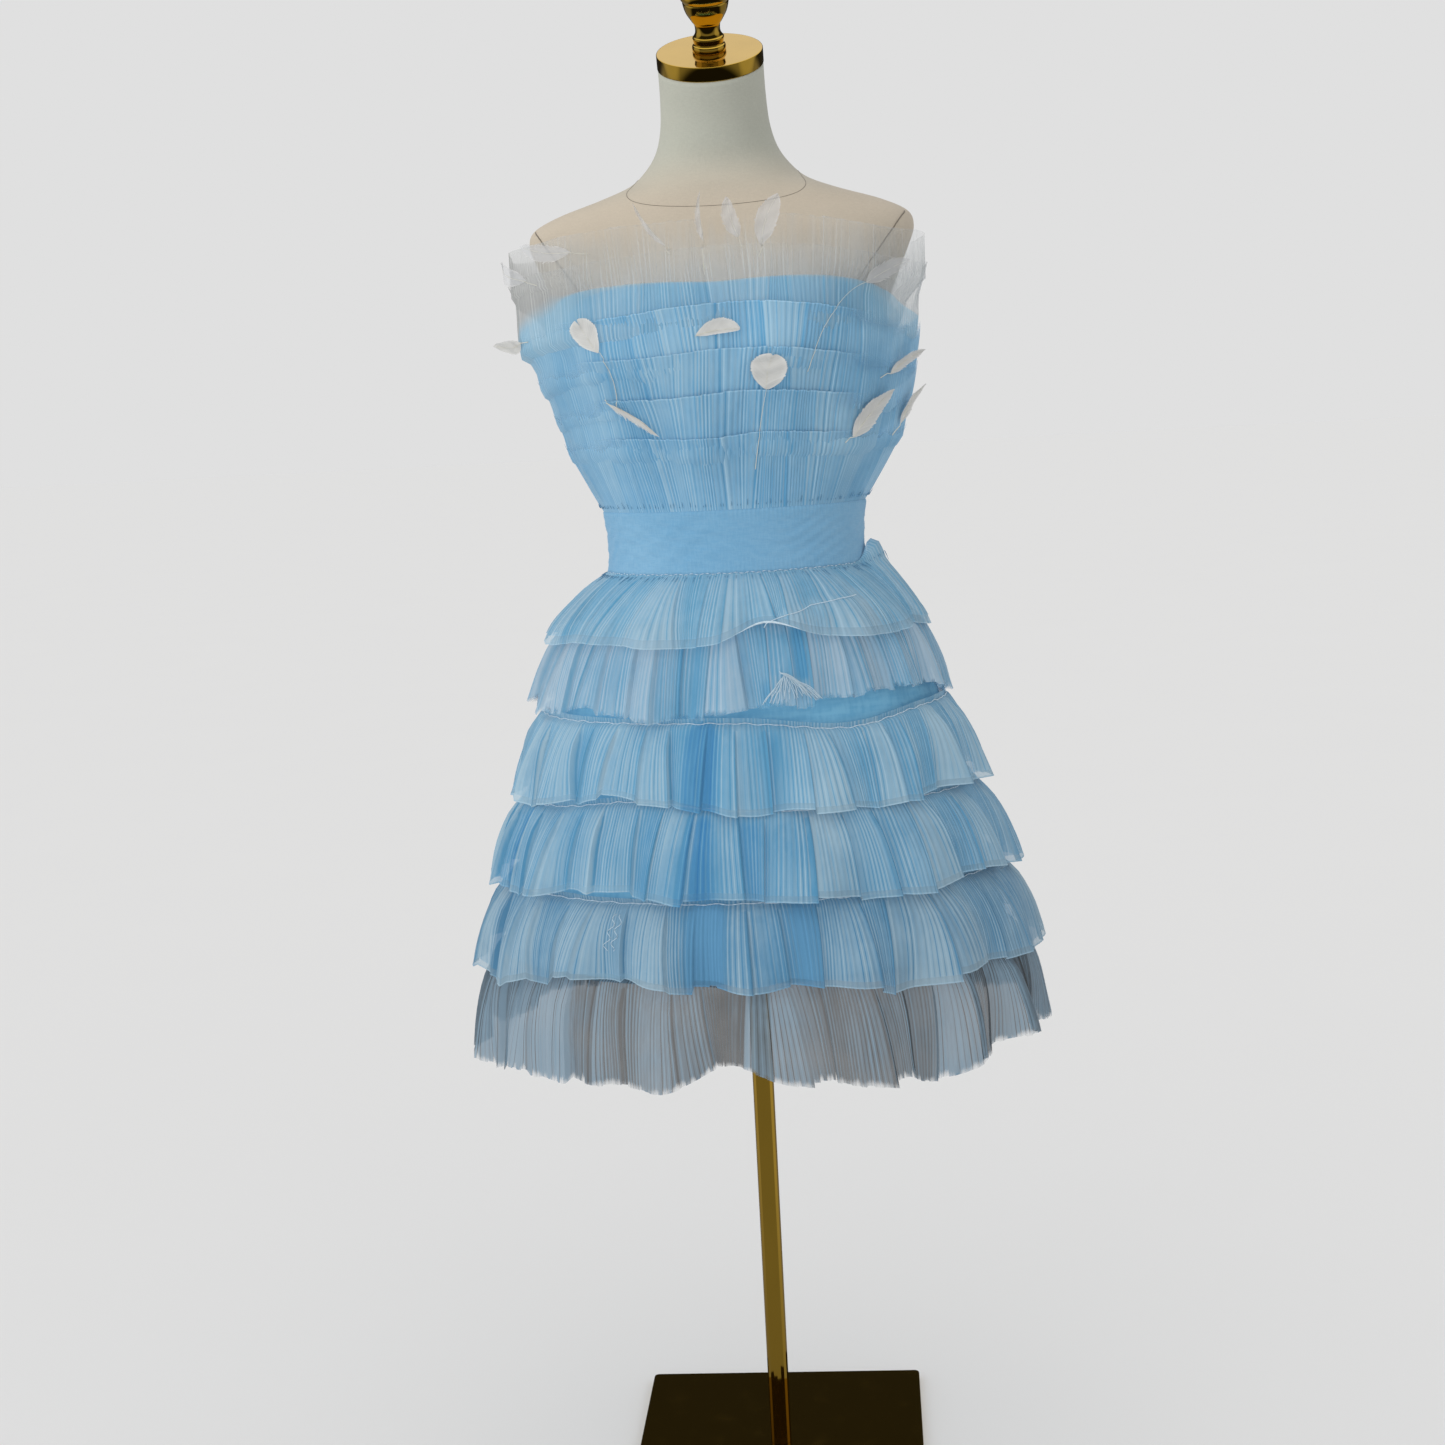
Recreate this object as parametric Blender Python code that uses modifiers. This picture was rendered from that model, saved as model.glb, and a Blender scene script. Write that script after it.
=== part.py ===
"""Strapless party dress of tiered pleated tulle, worn by a limbless dress form on a pole stand.

Metres, +Z up, front at -Y. The origin is the centre of the base plate's underside.
Round a ring, the turn is 0 at the centre back, a quarter at +X and a half at the centre front.
"""

import math

import bmesh
import bpy
import numpy as np

# Stand
BASE_SIDE = 0.290
BASE_THICK = 0.008
BASE_CORNER = 0.005
BASE_EDGE = 0.0012
POLE_RADIUS = 0.0105
COLLAR_RADIUS = 0.0165
COLLAR_LENGTH = 0.038
TOUCH = 0.0003

# Neck cap and finial, which lean forward with the neck
CAP_CENTRE = (0.0, -0.027, 1.375)
CAP_RADIUS = 0.0485
CAP_THICK = 0.0133
CAP_ROUND = 0.0009
NECK_LEAN = 27.0
# radius, height above the cap
FINIAL = (
    (0.0000, 0.0780),
    (0.0040, 0.0772),
    (0.0062, 0.0745),
    (0.0052, 0.0722),
    (0.0135, 0.0690),
    (0.0200, 0.0620),
    (0.0228, 0.0530),
    (0.0212, 0.0450),
    (0.0205, 0.0430),
    (0.0186, 0.0360),
    (0.0138, 0.0270),
    (0.0117, 0.0235),
    (0.0117, 0.0150),
    (0.0143, 0.0125),
    (0.0138, 0.0070),
    (0.0152, 0.0050),
    (0.0152, 0.0003),
    (0.0000, 0.0003),
)
TURNED_STEPS = 18
CAP_STEPS = 32

# Dress form below the neck: height, half width, front depth, back depth
FIGURE = (
    (0.640, 0.146, 0.089, 0.099),
    (0.650, 0.154, 0.094, 0.105),
    (0.700, 0.166, 0.101, 0.117),
    (0.760, 0.170, 0.104, 0.122),
    (0.800, 0.164, 0.101, 0.117),
    (0.840, 0.150, 0.096, 0.106),
    (0.880, 0.128, 0.088, 0.089),
    (0.905, 0.1185, 0.083, 0.079),
    (0.925, 0.1165, 0.081, 0.076),
    (0.960, 0.1190, 0.082, 0.077),
    (1.000, 0.1260, 0.088, 0.082),
    (1.040, 0.1345, 0.099, 0.089),
    (1.080, 0.1430, 0.112, 0.095),
    (1.110, 0.1480, 0.118, 0.098),
    (1.140, 0.1520, 0.112, 0.100),
    (1.170, 0.1630, 0.097, 0.100),
    (1.195, 0.1735, 0.082, 0.097),
    (1.212, 0.1790, 0.072, 0.092),
    (1.226, 0.1740, 0.063, 0.086),
    (1.238, 0.1500, 0.057, 0.080),
    (1.250, 0.1120, 0.053, 0.074),
)
# Neck: height of the ring's centre, its place front to back, half width, half depth, lean in degrees
NECK = (
    (1.2620, 0.009, 0.0840, 0.060, 3.0),
    (1.2740, 0.008, 0.0690, 0.055, 7.0),
    (1.2900, 0.005, 0.0572, 0.0510, 13.0),
    (1.3100, -0.001, 0.0508, 0.0490, 19.0),
    (1.3350, -0.0095, 0.0485, 0.0480, 25.0),
    (1.3629, -0.0208, 0.0480, 0.0480, 27.0),
)
FORM_COLUMNS = 36
FORM_ROWS = 29
CUP_HEIGHT = 1.110
CUP_SPREAD = 0.044
CUP_TURN = 0.085
CUP_DEPTH = 0.007

# Cloth
LINING_THICK = 0.0015
TULLE_THICK = 0.0012
LINING_OUT = 0.0030
SEAM_GAP = 0.0006
SHEET_OUT = LINING_OUT + SEAM_GAP + TULLE_THICK
SEAM_TURN = 0.0013
ZIP_TURN = 0.0032
CARRIER_TOP = 1.130

# Bodice lining: top edge at the front, at the sides and at the back, and its lower edge
LINING_TOP_FRONT = 1.167
LINING_TOP_SIDE = 1.128
LINING_TOP_BACK = 1.116
LINING_DIP = 0.002
LINING_CORNER = 2.8
WAIST_LOW = 0.9065
WAIST_TOP = 0.9630

# Ruffles of the bodice stand up from their stitched lower edge.
# name, stitch height, top height, both at the centre front, drop at the sides and back, reach of
# the top at the front, at the wearer's right (-X), at the left (+X) and at the back, wave depth
RUFFLES = (
    ("ruffle_1_sheer_tall", 1.134, 1.222, 0.030, -0.004, 0.043, 0.032, 0.014, 0.0040),
    ("ruffle_1_sheer_short", 1.112, 1.195, 0.030, 0.013, 0.046, 0.035, 0.020, 0.0030),
    ("ruffle_2", 1.0800, 1.1455, 0.030, 0.012, 0.043, 0.026, 0.022, 0.0026),
    ("ruffle_3", 1.0400, 1.1065, 0.021, 0.012, 0.031, 0.027, 0.018, 0.0026),
    ("ruffle_4", 0.9930, 1.0690, 0.013, 0.012, 0.024, 0.029, 0.018, 0.0026),
    ("ruffle_5", 0.9642, 1.0310, 0.000, 0.013, 0.021, 0.028, 0.018, 0.0026),
)
# How late a ruffle leans out at the front and back, and how much sooner at the sides
LEAN_POWER = 1.1
SIDE_BULGE = 0.25
RUFFLE_WAVES = 12
TOP_LAG = 0.35
TOP_UNEVEN = 0.0025
RUFFLE_COLUMNS = 60
RUFFLE_ROWS = (0.0, 0.45, 1.0)

# Underskirt that the tiers are sewn to: height, half width, front depth, back depth
SKIRT = (
    (0.4400, 0.262, 0.176, 0.200),
    (0.5250, 0.252, 0.167, 0.189),
    (0.5400, 0.249, 0.165, 0.186),
    (0.6200, 0.230, 0.153, 0.170),
    (0.7000, 0.209, 0.140, 0.152),
    (0.7800, 0.187, 0.127, 0.133),
    (0.8200, 0.173, 0.119, 0.121),
    (0.8600, 0.155, 0.108, 0.105),
    (0.8800, 0.140, 0.098, 0.093),
    (0.9060, 0.1225, 0.0865, 0.0825),
)
UNDERSKIRT_ROWS = (0.5250, 0.6500, 0.7600, 0.8250, 0.8620, 0.8840, 0.9056)
# Tiers hang from their stitched upper edge: name, stitch height, hem height, reach of the hem,
# how early it leans out, waves, wave depth, unevenness of the hem
TIERS = (
    ("tier_1", 0.9058, 0.8470, 0.023, 3.0, 16, 0.0060, 0.0030),
    ("tier_2", 0.8640, 0.7850, 0.013, 1.6, 18, 0.0080, 0.0045),
    ("tier_3", 0.7760, 0.6990, 0.016, 1.0, 16, 0.0080, 0.0035),
    ("tier_4", 0.6950, 0.6180, 0.021, 1.0, 16, 0.0090, 0.0035),
    ("tier_5", 0.6150, 0.5370, 0.023, 1.0, 17, 0.0100, 0.0045),
    ("tier_6", 0.5400, 0.4490, 0.015, 1.0, 17, 0.0095, 0.0045),
)
COLUMNS_A_WAVE = 5
CURVED_ROWS = (0.0, 0.3, 1.0)
STRAIGHT_ROWS = (0.0, 1.0)
# Where a tier sits higher or lower: centre and spread in turns, rise of its stitch and of its hem
SHIFTS = (
    ("tier_1", 0.472, 0.030, 0.000, 0.016),
    ("tier_2", 0.375, 0.065, 0.000, 0.015),
    ("tier_3", 0.415, 0.055, -0.011, 0.000),
    ("tier_3", 0.570, 0.050, 0.000, 0.012),
    ("tier_3", 0.490, 0.025, 0.000, -0.009),
    ("tier_4", 0.570, 0.055, 0.011, 0.009),
    ("tier_5", 0.575, 0.070, 0.000, 0.013),
    ("tier_6", 0.506, 0.032, 0.000, 0.026),
    ("tier_6", 0.300, 0.050, 0.000, 0.012),
)
# The first tier's stitched edge puffs out at the left side
PUFF_HEIGHT = 0.010
PUFF_OUT = 0.015
PUFF_TURN = 0.262
PUFF_SPREAD = 0.032
# The second tier is bunched outwards below the lift, and the next three fold inwards beside it
BUNCH_TURN = 0.472
BUNCH_OUT = 0.010
BUNCH_SPREAD = 0.012
RECESS_IN = 0.012
RECESS_TURN = 0.519
RECESS_SPREAD = 0.012

# Feathers on the bodice: carrying ruffle, turn, share of the ruffle's height, length, width,
# direction of the tip in degrees (0 towards +X at the front, 90 up), how far the tip stands off
FEATHERS = (
    (2, 0.607, 0.80, 0.033, 0.025, 250.0, 0.0000),
    (2, 0.498, 0.62, 0.035, 0.019, 5.0, 0.0000),
    (3, 0.456, 0.68, 0.030, 0.029, 80.0, 0.0000),
    (4, 0.583, 0.77, 0.050, 0.010, 319.0, 0.0000),
    (4, 0.350, 0.76, 0.054, 0.020, 52.0, 0.0030),
    (1, 0.343, 0.86, 0.047, 0.017, 35.0, 0.0030),
    (3, 0.305, 0.92, 0.044, 0.013, 30.0, 0.0060),
    (4, 0.282, 0.85, 0.040, 0.013, 60.0, 0.0060),
    (2, 0.722, 0.96, 0.042, 0.014, 175.0, 0.0200),
    (0, 0.648, 0.92, 0.048, 0.016, 160.0, 0.0030),
    (0, 0.706, 0.82, 0.050, 0.016, 150.0, 0.0050),
    (0, 0.450, 0.94, 0.044, 0.016, 72.0, 0.0020),
    (0, 0.481, 0.98, 0.036, 0.012, 104.0, 0.0020),
    (0, 0.554, 0.98, 0.046, 0.007, 121.0, 0.0000),
    (0, 0.508, 1.02, 0.044, 0.009, 91.0, 0.0000),
    (2, 0.190, 0.75, 0.040, 0.018, 70.0, 0.0040),
    (4, 0.120, 0.80, 0.044, 0.014, 120.0, 0.0000),
    (0, 0.085, 0.85, 0.040, 0.016, 100.0, 0.0020),
    (2, 0.925, 0.75, 0.036, 0.020, 95.0, 0.0000),
    (1, 0.830, 0.80, 0.044, 0.018, 120.0, 0.0020),
)
FEATHER_THICK = 0.0009
FEATHER_GAP = 0.0005
FEATHER_STEPS = 4

# Colours: red, green, blue, roughness, metallic
BLUE_LINING = (0.27, 0.55, 0.80, 0.75, 0.0)
BLUE_TULLE = (0.42, 0.66, 0.86, 0.80, 0.0)
CREAM_LINEN = (0.60, 0.54, 0.44, 0.90, 0.0)
GOLD = (0.75, 0.52, 0.16, 0.12, 1.0)
IVORY = (0.80, 0.78, 0.70, 0.65, 0.0)


def clear_scene():
    for old in list(bpy.data.objects):
        bpy.data.objects.remove(old, do_unlink=True)


def make_collection(name):
    made = bpy.data.collections.new(name)
    bpy.context.scene.collection.children.link(made)
    return made


def make_material(name, look):
    """A Principled material from red, green, blue, roughness and metallic."""
    made = bpy.data.materials.new(name)
    made.use_nodes = True
    shader = made.node_tree.nodes["Principled BSDF"]
    shader.inputs["Base Color"].default_value = (*look[:3], 1.0)
    shader.inputs["Roughness"].default_value = look[3]
    shader.inputs["Metallic"].default_value = look[4]
    made.diffuse_color = (*look[:3], 1.0)
    return made


def add_mesh(name, points, faces, material, collection, smooth=True):
    mesh = bpy.data.meshes.new(name)
    mesh.from_pydata([tuple(map(float, p)) for p in points], [], faces)
    mesh.validate()
    made = bpy.data.objects.new(name, mesh)
    mesh.materials.append(material)
    if smooth:
        mesh.shade_smooth()
        mesh.set_sharp_from_angle(angle=math.radians(50))
    collection.objects.link(made)
    return made


def grid_faces(rows, columns, closed):
    """Quads of a grid stored row by row, each facing away from the axis when rows climb."""
    faces = []
    for row in range(rows - 1):
        for column in range(columns if closed else columns - 1):
            after = (column + 1) % columns
            low, high = row * columns, (row + 1) * columns
            faces.append((low + column, high + column, high + after, low + after))
    return faces


def add_wall(name, grid, thick, closed, material, collection):
    """A cloth wall: grid is its outer face, as rows of points that climb, and thick goes inwards."""
    rows, columns = grid.shape[:2]
    faces = grid_faces(rows, columns, closed)
    made = add_mesh(name, grid.reshape(-1, 3), faces, material, collection)
    solidify = made.modifiers.new("Wall", "SOLIDIFY")
    solidify.thickness = thick
    solidify.offset = -1.0
    return made


def through(place, table, column):
    """Smooth curve through one column of a table whose first column is the place."""
    places = np.array([row[0] for row in table])
    values = np.array([row[column] for row in table])
    slopes = np.gradient(values, places)
    place = np.clip(place, places[0], places[-1])
    low = np.clip(np.searchsorted(places, place) - 1, 0, len(places) - 2)
    span = places[low + 1] - places[low]
    share = (place - places[low]) / span
    square, cube = share**2, share**3
    return (
        (2 * cube - 3 * square + 1) * values[low]
        + (cube - 2 * square + share) * span * slopes[low]
        + (3 * square - 2 * cube) * values[low + 1]
        + (cube - square) * span * slopes[low + 1]
    )


def cups(turn, height):
    """How far the cups of the figure stand out of its plain oval."""
    across = np.abs(turn - 0.5)
    cup = np.exp(-(((across - CUP_TURN) / 0.045) ** 2)) - 0.35 * np.exp(-((across / 0.04) ** 2))
    return CUP_DEPTH * cup * np.exp(-(((height - CUP_HEIGHT) / CUP_SPREAD) ** 2))


def oval(turn, height, half_width, front, back, out):
    """Points of an oval whose front and back halves have their own depth, moved out by out."""
    angle = 2 * np.pi * turn
    depth = np.where(np.cos(angle) > 0, back, front) + out
    return np.stack(
        np.broadcast_arrays((half_width + out) * np.sin(angle), depth * np.cos(angle), height), axis=-1
    )


def on_figure(turn, height, out):
    axes = [through(height, FIGURE, column) for column in (1, 2, 3)]
    return oval(turn, height, *axes, out + cups(turn, height))


def above_bust(turn, height, out):
    """As on_figure, but straight up from the bust, where ruffles stand clear of the chest."""
    level = np.minimum(height, CARRIER_TOP)
    axes = [through(level, FIGURE, column) for column in (1, 2, 3)]
    return oval(turn, height, *axes, out + cups(turn, level))


def on_skirt(turn, height, out):
    return oval(turn, height, *[through(height, SKIRT, column) for column in (1, 2, 3)], out)


def waves(turn, count, seed):
    """Uneven waves round a ring, from -1 to 1, that join where the ring closes."""
    angle = 2 * np.pi * turn
    drift = 0.9 * np.sin(2 * angle + seed) + 0.4 * np.sin(3 * angle + 2.1 * seed)
    uneven = 0.72 + 0.28 * np.sin(5 * angle + 1.7 * seed)
    return uneven * np.sin(count * angle + drift)


def side_share(turn):
    """0 at the centre front and back, 1 at the sides."""
    return np.abs(np.sin(2 * np.pi * turn)) ** 2


def ruffle_span(row, turn):
    """Height of a ruffle's stitch line and how tall the ruffle is there."""
    _, stitch, top, drop = row[:4]
    low = drop * np.where(np.cos(2 * np.pi * turn) > 0, 1.0, side_share(turn))
    return stitch - low, top - stitch + TOP_LAG * low


def ruffle_points(row, seed, turn, rise):
    """Outer face of a bodice ruffle at a turn and a share of its height."""
    front, right, left, back, depth = row[4:]
    sides = side_share(turn)
    side_reach = np.where(np.sin(2 * np.pi * turn) > 0, left, right)
    plain_reach = np.where(np.cos(2 * np.pi * turn) > 0, back, front)
    reach = plain_reach + (side_reach - plain_reach) * sides
    stitch, tall = ruffle_span(row, turn)
    height = stitch + rise * (tall + TOP_UNEVEN * waves(turn, 5, seed + 1.0))
    lean = rise ** (LEAN_POWER - SIDE_BULGE * sides)
    out = SHEET_OUT + reach * lean + depth * rise * waves(turn, RUFFLE_WAVES, seed)
    return above_bust(turn, height, out)


def bump(turn, centre, spread):
    return np.exp(-(((turn - centre) / spread) ** 2))


def tier_points(row, seed, turn, fall):
    """Outer face of a skirt tier at a turn and a share of its length, from the stitch down."""
    name, stitch, hem, reach, early, count, depth, uneven = row
    low = hem + uneven * waves(turn, 7, seed + 2.0)
    out = SEAM_GAP + TULLE_THICK + depth * fall * waves(turn, count, seed)
    for shifted, centre, spread, stitch_rise, hem_rise in SHIFTS:
        if shifted == name:
            stitch = stitch + stitch_rise * bump(turn, centre, spread)
            low = low + hem_rise * bump(turn, centre, spread)
    if name == "tier_1":
        puff = bump(turn, PUFF_TURN, PUFF_SPREAD) * (1 - fall) ** 2
        stitch = stitch + PUFF_HEIGHT * puff
        out = out + PUFF_OUT * puff
    elif name == "tier_2":
        out = out + BUNCH_OUT * fall * bump(turn, BUNCH_TURN, BUNCH_SPREAD)
    elif name in ("tier_3", "tier_4", "tier_5"):
        out = out - RECESS_IN * fall * bump(turn, RECESS_TURN, RECESS_SPREAD)
    height = stitch + fall * (low - stitch)
    out = out + reach * (1 - (1 - fall) ** early)
    return on_skirt(turn, height, out)


def turns_of(columns, closed, gap=0.0):
    """Turns of a ring's columns, from the centre back round the front, leaving a gap at the back."""
    if closed:
        return np.arange(columns) / columns
    return np.linspace(gap, 1 - gap, columns)


def lining_top(turn):
    """Height of the bodice lining's top edge."""
    angle = 2 * np.pi * turn
    end = np.where(np.cos(angle) > 0, LINING_TOP_BACK, LINING_TOP_FRONT)
    dip = LINING_DIP * np.exp(-(((turn - 0.5) / 0.03) ** 2))
    return end + (LINING_TOP_SIDE - end) * side_share(turn) ** LINING_CORNER - dip


def panel_grid(turns, rows, low, high, place):
    """Rows of points between two heights, each a number or one value a turn."""
    return np.stack([place(turns, low + (high - low) * share) for share in np.linspace(0, 1, rows)])


def add_lining(material, collection):
    """Front and two back panels of the fitted bodice lining, and its zip in the back seam."""
    back_gap = ZIP_TURN + SEAM_TURN
    seam = SEAM_TURN / 2

    def place(turns, height):
        return on_figure(turns, height, LINING_OUT)

    spans = {
        "bodice_lining_front": (0.25 + seam, 0.75 - seam, FORM_COLUMNS // 2 + 1),
        "bodice_lining_back_left": (back_gap, 0.25 - seam, FORM_COLUMNS // 4 + 1),
        "bodice_lining_back_right": (0.75 + seam, 1 - back_gap, FORM_COLUMNS // 4 + 1),
    }
    for name, (start, end, columns) in spans.items():
        turns = np.linspace(start, end, columns)
        grid = panel_grid(turns, 13, WAIST_LOW, lining_top(turns), place)
        add_wall(name, grid, LINING_THICK, False, material, collection)


def add_zip(material, collection):
    """Closed zip up the centre back, from the underskirt to the top of the lining."""
    low, high = 0.9085, LINING_TOP_BACK - 0.002
    turns = np.array([-ZIP_TURN, 0.0, ZIP_TURN])
    grid = panel_grid(turns, 13, low, high, lambda t, h: on_figure(t, h, LINING_OUT))
    add_wall("back_zip", grid, LINING_THICK, False, material, collection)


def add_waistband(material, collection):
    """Wide band of plain tulle over the waist, closed at the back beside the zip."""
    turns = turns_of(FORM_COLUMNS + 5, False, 0.0008)
    out = SHEET_OUT + 0.0004
    grid = panel_grid(turns, 4, WAIST_LOW, WAIST_TOP, lambda t, h: on_figure(t, h, out))
    add_wall("waistband", grid, TULLE_THICK, False, material, collection)


def add_underskirt(material, collection):
    seam = SEAM_TURN / 2
    for name, start, end in (("underskirt_front", 0.25, 0.75), ("underskirt_back", -0.25, 0.25)):
        turns = np.linspace(start + seam, end - seam, FORM_COLUMNS // 2 + 1)
        grid = np.stack([on_skirt(turns, height, 0.0) for height in UNDERSKIRT_ROWS])
        add_wall(name, grid, LINING_THICK, False, material, collection)


def ruffle_grid(number):
    turns = turns_of(RUFFLE_COLUMNS, False, 0.0009)
    return turns, np.stack([ruffle_points(RUFFLES[number], number + 1.0, turns, r) for r in RUFFLE_ROWS])


def add_ruffles(material, collection):
    for number, row in enumerate(RUFFLES):
        _, grid = ruffle_grid(number)
        add_wall(row[0], grid, TULLE_THICK, False, material, collection)


def add_tiers(material, collection):
    for number, row in enumerate(TIERS):
        turns = turns_of(COLUMNS_A_WAVE * row[5], True)
        rows = CURVED_ROWS if row[4] > 1 else STRAIGHT_ROWS
        grid = np.stack([tier_points(row, number + 1.0, turns, fall) for fall in rows[::-1]])
        add_wall(row[0], grid, TULLE_THICK, True, material, collection)


def on_ruffle(number, turn, rise):
    """Points of a ruffle's own facets at any turn and rise, carried on straight above its top."""
    turns, grid = ruffle_grid(number)
    column = np.clip(np.searchsorted(turns, turn) - 1, 0, len(turns) - 2)
    along = (turn - turns[column]) / (turns[column + 1] - turns[column])
    rows = np.array(RUFFLE_ROWS)
    row = np.clip(np.searchsorted(rows, rise) - 1, 0, len(rows) - 2)
    up = (rise - rows[row]) / (rows[row + 1] - rows[row])
    along, up = along[..., None], up[..., None]
    low = grid[row, column] * (1 - along) + grid[row, column + 1] * along
    high = grid[row + 1, column] * (1 - along) + grid[row + 1, column + 1] * along
    return low * (1 - up) + high * up


def finer(values, times):
    """A grid's values filled in linearly, to so many times its steps each way."""
    weights = []
    for count in values.shape[:2]:
        places = np.linspace(0, count - 1, times * (count - 1) + 1)
        weights.append(np.maximum(0, 1 - np.abs(places[:, None] - np.arange(count))))
    return np.einsum("ar,bc,rc...->ab...", *weights, values)


def facing_out(turns):
    return np.stack([np.sin(2 * np.pi * turns), np.cos(2 * np.pi * turns), 0 * turns], axis=-1)


def add_feather(index, row, material, collection):
    """A pointed oval laid on its ruffle, made from the ruffle's own points moved out."""
    number, turn, rise, long, wide, heading, lift = row
    half_width = through(CARRIER_TOP, FIGURE, 1)
    depth = through(CARRIER_TOP, FIGURE, 2 if 0.25 < turn < 0.75 else 3)
    facing = 2 * math.pi * turn
    girth = 2 * math.pi * math.hypot(half_width * math.cos(facing), depth * math.sin(facing))
    tall = ruffle_span(RUFFLES[number], turn)[1]
    steps = np.linspace(0, 1, FEATHER_STEPS + 1)
    half = wide / 2 * np.maximum(np.sin(np.pi * steps**0.8), 0.06)
    side, ahead = np.meshgrid([1.0, 0.0, -1.0], steps)
    ahead = (ahead - 0.5) * long
    side = side * half[:, None]
    angle = math.radians(heading)
    across = ahead * math.cos(angle) + side * math.sin(angle)
    up = ahead * math.sin(angle) - side * math.cos(angle)
    turns = turn - across / girth
    rises = rise + up / tall
    points = on_ruffle(number, turns, rises)
    ridges = on_ruffle(number, finer(turns, 6), finer(rises, 6)) - finer(points, 6)
    ridge = max(0.0, np.sum(ridges * facing_out(finer(turns, 6)), axis=-1).max())
    out = FEATHER_GAP + FEATHER_THICK + ridge + lift * steps[:, None, None] ** 2
    grid = points + facing_out(turns) * out
    add_wall(f"feather_{index:02d}", grid, FEATHER_THICK, False, material, collection)


def add_form(material, collection):
    """Torso and leaning neck as one smooth closed shape, lofted through its sections."""
    turns = turns_of(FORM_COLUMNS, True)
    rings = []
    for height in np.linspace(FIGURE[0][0], FIGURE[-1][0], FORM_ROWS):
        rings.append(on_figure(turns, height, 0.0))
    for height, centre, half_width, half_depth, lean in NECK:
        ring = oval(turns, 0.0, half_width, half_depth, half_depth, 0.0)
        tilt = math.radians(lean)
        ring[:, 2] = height + ring[:, 1] * math.sin(tilt)
        ring[:, 1] = centre + ring[:, 1] * math.cos(tilt)
        rings.append(ring)
    points = np.concatenate(rings)
    faces = grid_faces(len(rings), FORM_COLUMNS, True)
    last = len(points) - FORM_COLUMNS
    faces.append(tuple(range(FORM_COLUMNS)))
    faces.append(tuple(last + column for column in reversed(range(FORM_COLUMNS))))
    add_mesh("dress_form", points, faces, material, collection)


def add_turned(name, profile, material, collection, steps=TURNED_STEPS, closed=False):
    """A solid of revolution about its own Z axis. The profile runs down its outer side."""
    edges = [(i, i + 1) for i in range(len(profile) - 1)]
    if closed:
        edges.append((len(profile) - 1, 0))
    mesh = bpy.data.meshes.new(name)
    mesh.from_pydata([(radius, 0.0, height) for radius, height in profile], edges, [])
    made = bpy.data.objects.new(name, mesh)
    mesh.materials.append(material)
    screw = made.modifiers.new("Turn", "SCREW")
    screw.steps = screw.render_steps = steps
    screw.use_merge_vertices = True
    screw.merge_threshold = 0.00005
    screw.use_smooth_shade = True
    collection.objects.link(made)
    return made


def add_cap_and_finial(material, collection):
    holder = bpy.data.objects.new("neck_top", None)
    collection.objects.link(holder)
    holder.location = CAP_CENTRE
    holder.rotation_euler = (math.radians(NECK_LEAN), 0.0, 0.0)
    cap = (
        (0.0, 0.0),
        (CAP_RADIUS - CAP_ROUND, 0.0),
        (CAP_RADIUS, -CAP_ROUND),
        (CAP_RADIUS, CAP_ROUND - CAP_THICK),
        (CAP_RADIUS - CAP_ROUND, -CAP_THICK),
        (0.0, -CAP_THICK),
    )
    add_turned("neck_cap", cap, material, collection, CAP_STEPS).parent = holder
    add_turned("finial", FINIAL, material, collection).parent = holder


def add_stand(material, collection):
    """Square base plate, pole, and the collar that carries the form on the pole."""
    mesh = bpy.data.meshes.new("base_plate")
    plate = bmesh.new()
    bmesh.ops.create_cube(plate, size=1.0)
    bmesh.ops.scale(plate, vec=(BASE_SIDE, BASE_SIDE, BASE_THICK), verts=plate.verts)
    bmesh.ops.translate(plate, vec=(0, 0, BASE_THICK / 2), verts=plate.verts)
    corners = [e for e in plate.edges if abs(e.verts[0].co.z - e.verts[1].co.z) > BASE_THICK / 2]
    bmesh.ops.bevel(plate, geom=corners, offset=BASE_CORNER, segments=4, affect="EDGES", profile=0.5)
    plate.to_mesh(mesh)
    plate.free()
    mesh.materials.append(material)
    made = bpy.data.objects.new("base_plate", mesh)
    collection.objects.link(made)
    bevel = made.modifiers.new("Edge", "BEVEL")
    bevel.width = BASE_EDGE
    bevel.segments = 2
    bevel.limit_method = "ANGLE"
    bevel.angle_limit = math.radians(50)

    form_low = FIGURE[0][0]
    low, high = BASE_THICK + TOUCH, form_low - TOUCH
    bpy.ops.mesh.primitive_cylinder_add(
        vertices=TURNED_STEPS, radius=POLE_RADIUS, depth=high - low, location=(0, 0, (low + high) / 2)
    )
    pole = bpy.context.object
    pole.name = "pole"
    pole.data.materials.append(material)
    pole.data.shade_smooth()
    pole.data.set_sharp_from_angle(angle=math.radians(50))
    for holder in pole.users_collection:
        holder.objects.unlink(pole)
    collection.objects.link(pole)

    hole = POLE_RADIUS + 2 * TOUCH
    top = form_low - TOUCH
    collar = (
        (hole, top),
        (COLLAR_RADIUS, top),
        (COLLAR_RADIUS, top - COLLAR_LENGTH),
        (hole, top - COLLAR_LENGTH),
    )
    add_turned("pole_collar", collar, material, collection, closed=True)


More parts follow.
